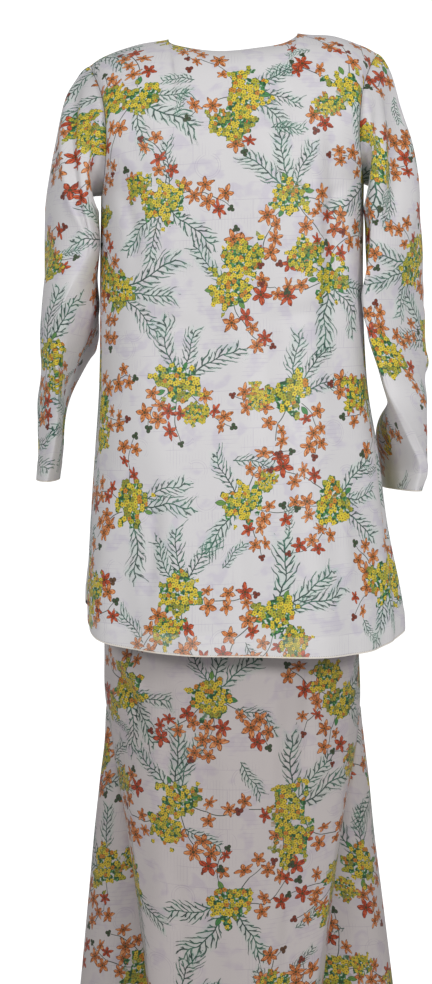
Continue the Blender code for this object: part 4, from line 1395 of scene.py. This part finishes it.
def write_print(mesh, cloth, flat, number, cells, places, rims):
    """Writes where each corner lies on the flat cloth, from its motifs and from the hem."""
    printed = Print(flat, number)
    flat_mm = flat.reshape(-1, 2)[places] / MM
    filler = np.full((len(cells) + len(rims), 4, 3), FAR, np.float32)
    for name in LAYERS:
        write_corners(mesh, name, np.concatenate([printed.local(name, flat_mm), filler]))
    seed = np.full(flat_mm.shape[:2] + (1,), number * 0.1)
    right = np.concatenate([flat_mm, seed], axis=-1)
    rim = np.zeros((len(rims), 4, 3)) + [0, 0, number * 0.1]
    write_corners(mesh, "flat", np.concatenate([right, right[:, ::-1], rim]))
    hem = np.full((2 * len(cells) + len(rims), 4, 3), FAR)
    hem[: len(cells), :, 0] = (cloth.edge_distance(cloth.hems) / MM).reshape(-1)[cells]
    # The rims of hemmed pieces take the painted highlight of the edge
    hem[2 * len(cells) :, :, 0] = 1.0 if cloth.hems else FAR
    # The second number marks the skirt's pieces for the print's painted shade
    hem[..., 1] = 1.0 if cloth.under else 0.0
    write_corners(mesh, "hem", hem)


def mark_rims(mesh, used, rims):
    """Marks the shell's rims as sharp edges."""
    sharp = np.zeros(len(mesh.edges), bool)
    ends = np.empty(2 * len(mesh.edges), np.int32)
    mesh.edges.foreach_get("vertices", ends)
    ends = used[ends.reshape(-1, 2)]
    rim_edges = {tuple(sorted(pair)) for rim in rims for pair in ((rim[0], rim[1]), (rim[2], rim[3]))}
    for i, (a, b) in enumerate(ends.tolist()):
        sharp[i] = (min(a, b), max(a, b)) in rim_edges
    marks = mesh.attributes.new("sharp_edge", "BOOLEAN", "EDGE")
    marks.data.foreach_set("value", sharp)


def write_corners(mesh, name, values):
    layer = mesh.attributes.new(name, "FLOAT_VECTOR", "CORNER")
    layer.data.foreach_set("vector", np.ascontiguousarray(values, np.float32).reshape(-1))


def draw_back(grid, sewn, gap):
    """Moves a grid's sewn edges back from their seams, never past the next row or column."""
    ways = {
        "bottom": ((0,), (1,)),
        "top": ((-1,), (-2,)),
        "left": ((slice(None), 0), (slice(None), 1)),
        "right": ((slice(None), -1), (slice(None), -2)),
    }
    for name in sewn:
        edge, inner = ways[name]
        step = grid[inner] - grid[edge]
        length = np.linalg.norm(step, axis=-1, keepdims=True)
        grid[edge] += step * np.minimum(MOST_OF_A_CELL, gap / np.maximum(length, 1e-9))


def tunic_cloths():
    back, front = body_panel(-1), body_panel(1)
    gores = {side: side_gore(side, back, front) for side in (-1, 1)}
    left = sleeve(LEFT_SLEEVE, -1, armhole_loop(-1, back, front, gores[-1]))
    right = sleeve(RIGHT_SLEEVE, 1, armhole_loop(1, back, front, gores[1]))
    slit_column = (front.shape[1] - 1) // 2
    levels = -front[:, slit_column, 2]
    slit_row = int(np.argmin(np.abs(levels - (FRONT_NECK_DROP + SLIT_LENGTH))))
    seams = ("top", "left", "right")
    hem = ("bottom",)
    return [
        Cloth("back_panel", back, seams, BODY_ROWS, hems=hem),
        Cloth("front_panel", front, seams, BODY_ROWS, hole=(slit_row, slit_column), hems=hem),
        Cloth("gore_left", gores[-1], seams, BODY_ROWS, hems=hem),
        Cloth("gore_right", gores[1], seams, BODY_ROWS, hems=hem),
        Cloth("sleeve_left", left, ("bottom",), CAP_ROWS, closed=True, hems=("top",)),
        Cloth("sleeve_right", right, ("bottom",), CAP_ROWS, closed=True, hems=("top",)),
    ]


def skirt_cloths():
    back, front = skirt_panel(-1), skirt_panel(1)
    band = waistband(back, front)
    sides = ("left", "right")
    seams = ("top", *sides)
    hem = ("bottom",)
    return [
        Cloth("skirt_back", back, seams, -1, hems=hem, under=True),
        Cloth("skirt_front", front, seams, -1, hems=hem, under=True),
        Cloth("insert_left", skirt_insert(-1, back, front), sides, -1, hems=hem, under=True),
        Cloth("insert_right", skirt_insert(1, back, front), sides, -1, hems=hem, under=True),
        Cloth("waistband", band, ("bottom",), 0, closed=True, thick=BAND_CLOTH, under=True),
    ]


# A row for the flat cut of what shows of a piece: width, length, area and how it is held. No piece is given
# one here.
Cut = namedtuple("Cut", "width length area held", defaults=("hung",))


def dress():
    """Every piece of cloth, over its solid."""
    materials = (print_material(), wrong_side_shaded_material())
    for number, cloth in enumerate(tunic_cloths() + skirt_cloths()):
        creases = rows(Crease, *CREASES.get(cloth.name, ()), plain="crisp")
        obj = build(cloth, number, creases, materials)
    for name, material in (("neck_button", shell_button_material()), ("neck_loop", cord_material())):
        node = bpy.data.objects[name]
        for slot in node.material_slots:
            slot.material = material


PAPER_GLOW = 0.80
WORLD_LIGHT = 0.40
RIGHT_LIGHT = 33.0
RIGHT_PLACE = (1.5, -2.5, 0.45)
LEFT_LIGHT = 21.0
LEFT_PLACE = (-1.4, -2.5, 0.45)
LIGHT_SIZE = 0.8
LIGHT_AIM = (0.0, 0.0, -0.6)

# The photograph's frame in pixels, and where the camera stands to see it
PICTURE_WIDTH = 432
PICTURE_HEIGHT = 984
FOCAL_PIXELS = 1714
MIDDLE_COLUMN = 233
EYE_ROW = 357
EYE = (0.0, -2.40, -0.4494)


def add_light(name, place, power):
    data = bpy.data.lights.new(name, "AREA")
    data.shape, data.size, data.energy = "DISK", LIGHT_SIZE, power
    light = bpy.data.objects.new(name, data)
    light.location = place
    direction = mathutils.Vector(LIGHT_AIM) - mathutils.Vector(place)
    light.rotation_euler = direction.to_track_quat("-Z", "Y").to_euler()
    bpy.context.scene.collection.objects.link(light)


def backdrop():
    """A pale floor that curves up into a pale wall behind, lit evenly from within."""
    level, wall, bend, half, near, top = -1.45, 9.5, 1.6, 12.0, -9.0, 7.0
    turn = np.linspace(0, math.pi / 2, 17)
    profile = [(near, level)]
    profile += [(wall - bend + bend * math.sin(a), level + bend - bend * math.cos(a)) for a in turn]
    profile += [(wall, top)]
    points = [(x, y, z) for y, z in profile for x in (-half, half)]
    faces = [(2 * i, 2 * i + 1, 2 * i + 3, 2 * i + 2) for i in range(len(profile) - 1)]
    mesh = bpy.data.meshes.new("backdrop")
    mesh.from_pydata(points, [], faces)
    mesh.shade_smooth()
    shader = Shader("pale_paper")
    grain = shader.noise(shader.coordinates(), 40.0, 3.0)
    colour = shader.paint(PAPER, grain * 0.3, PAPER_DARK)
    mesh.materials.append(
        shader.finish(
            Base_Color=colour, Roughness=0.9, Emission_Color=WHITE, Emission_Strength=PAPER_GLOW
        )
    )
    paper = bpy.data.objects.new("backdrop", mesh)
    paper.visible_diffuse = False
    paper.visible_glossy = False
    bpy.context.scene.collection.objects.link(paper)


def studio():
    """The backdrop, even soft light with a source up on each side, and the camera."""
    scene = bpy.context.scene
    backdrop()
    world = bpy.data.worlds.new("studio")
    world.use_nodes = True
    feed(world.node_tree.nodes["Background"], {"Color": WHITE, "Strength": WORLD_LIGHT})
    scene.world = world
    scene.view_settings.view_transform = "Standard"
    add_light("right", RIGHT_PLACE, RIGHT_LIGHT)
    add_light("left", LEFT_PLACE, LEFT_LIGHT)

    camera = bpy.data.cameras.new("camera")
    camera.sensor_width = 36.0
    camera.lens = camera.sensor_width * FOCAL_PIXELS / PICTURE_HEIGHT
    camera.shift_x = (PICTURE_WIDTH / 2 - MIDDLE_COLUMN) / PICTURE_HEIGHT
    camera.shift_y = (EYE_ROW - PICTURE_HEIGHT / 2) / PICTURE_HEIGHT
    eye = bpy.data.objects.new("camera", camera)
    eye.location = EYE
    eye.rotation_euler = (math.radians(90), 0.0, 0.0)
    scene.collection.objects.link(eye)
    scene.camera = eye


studio()
dress()
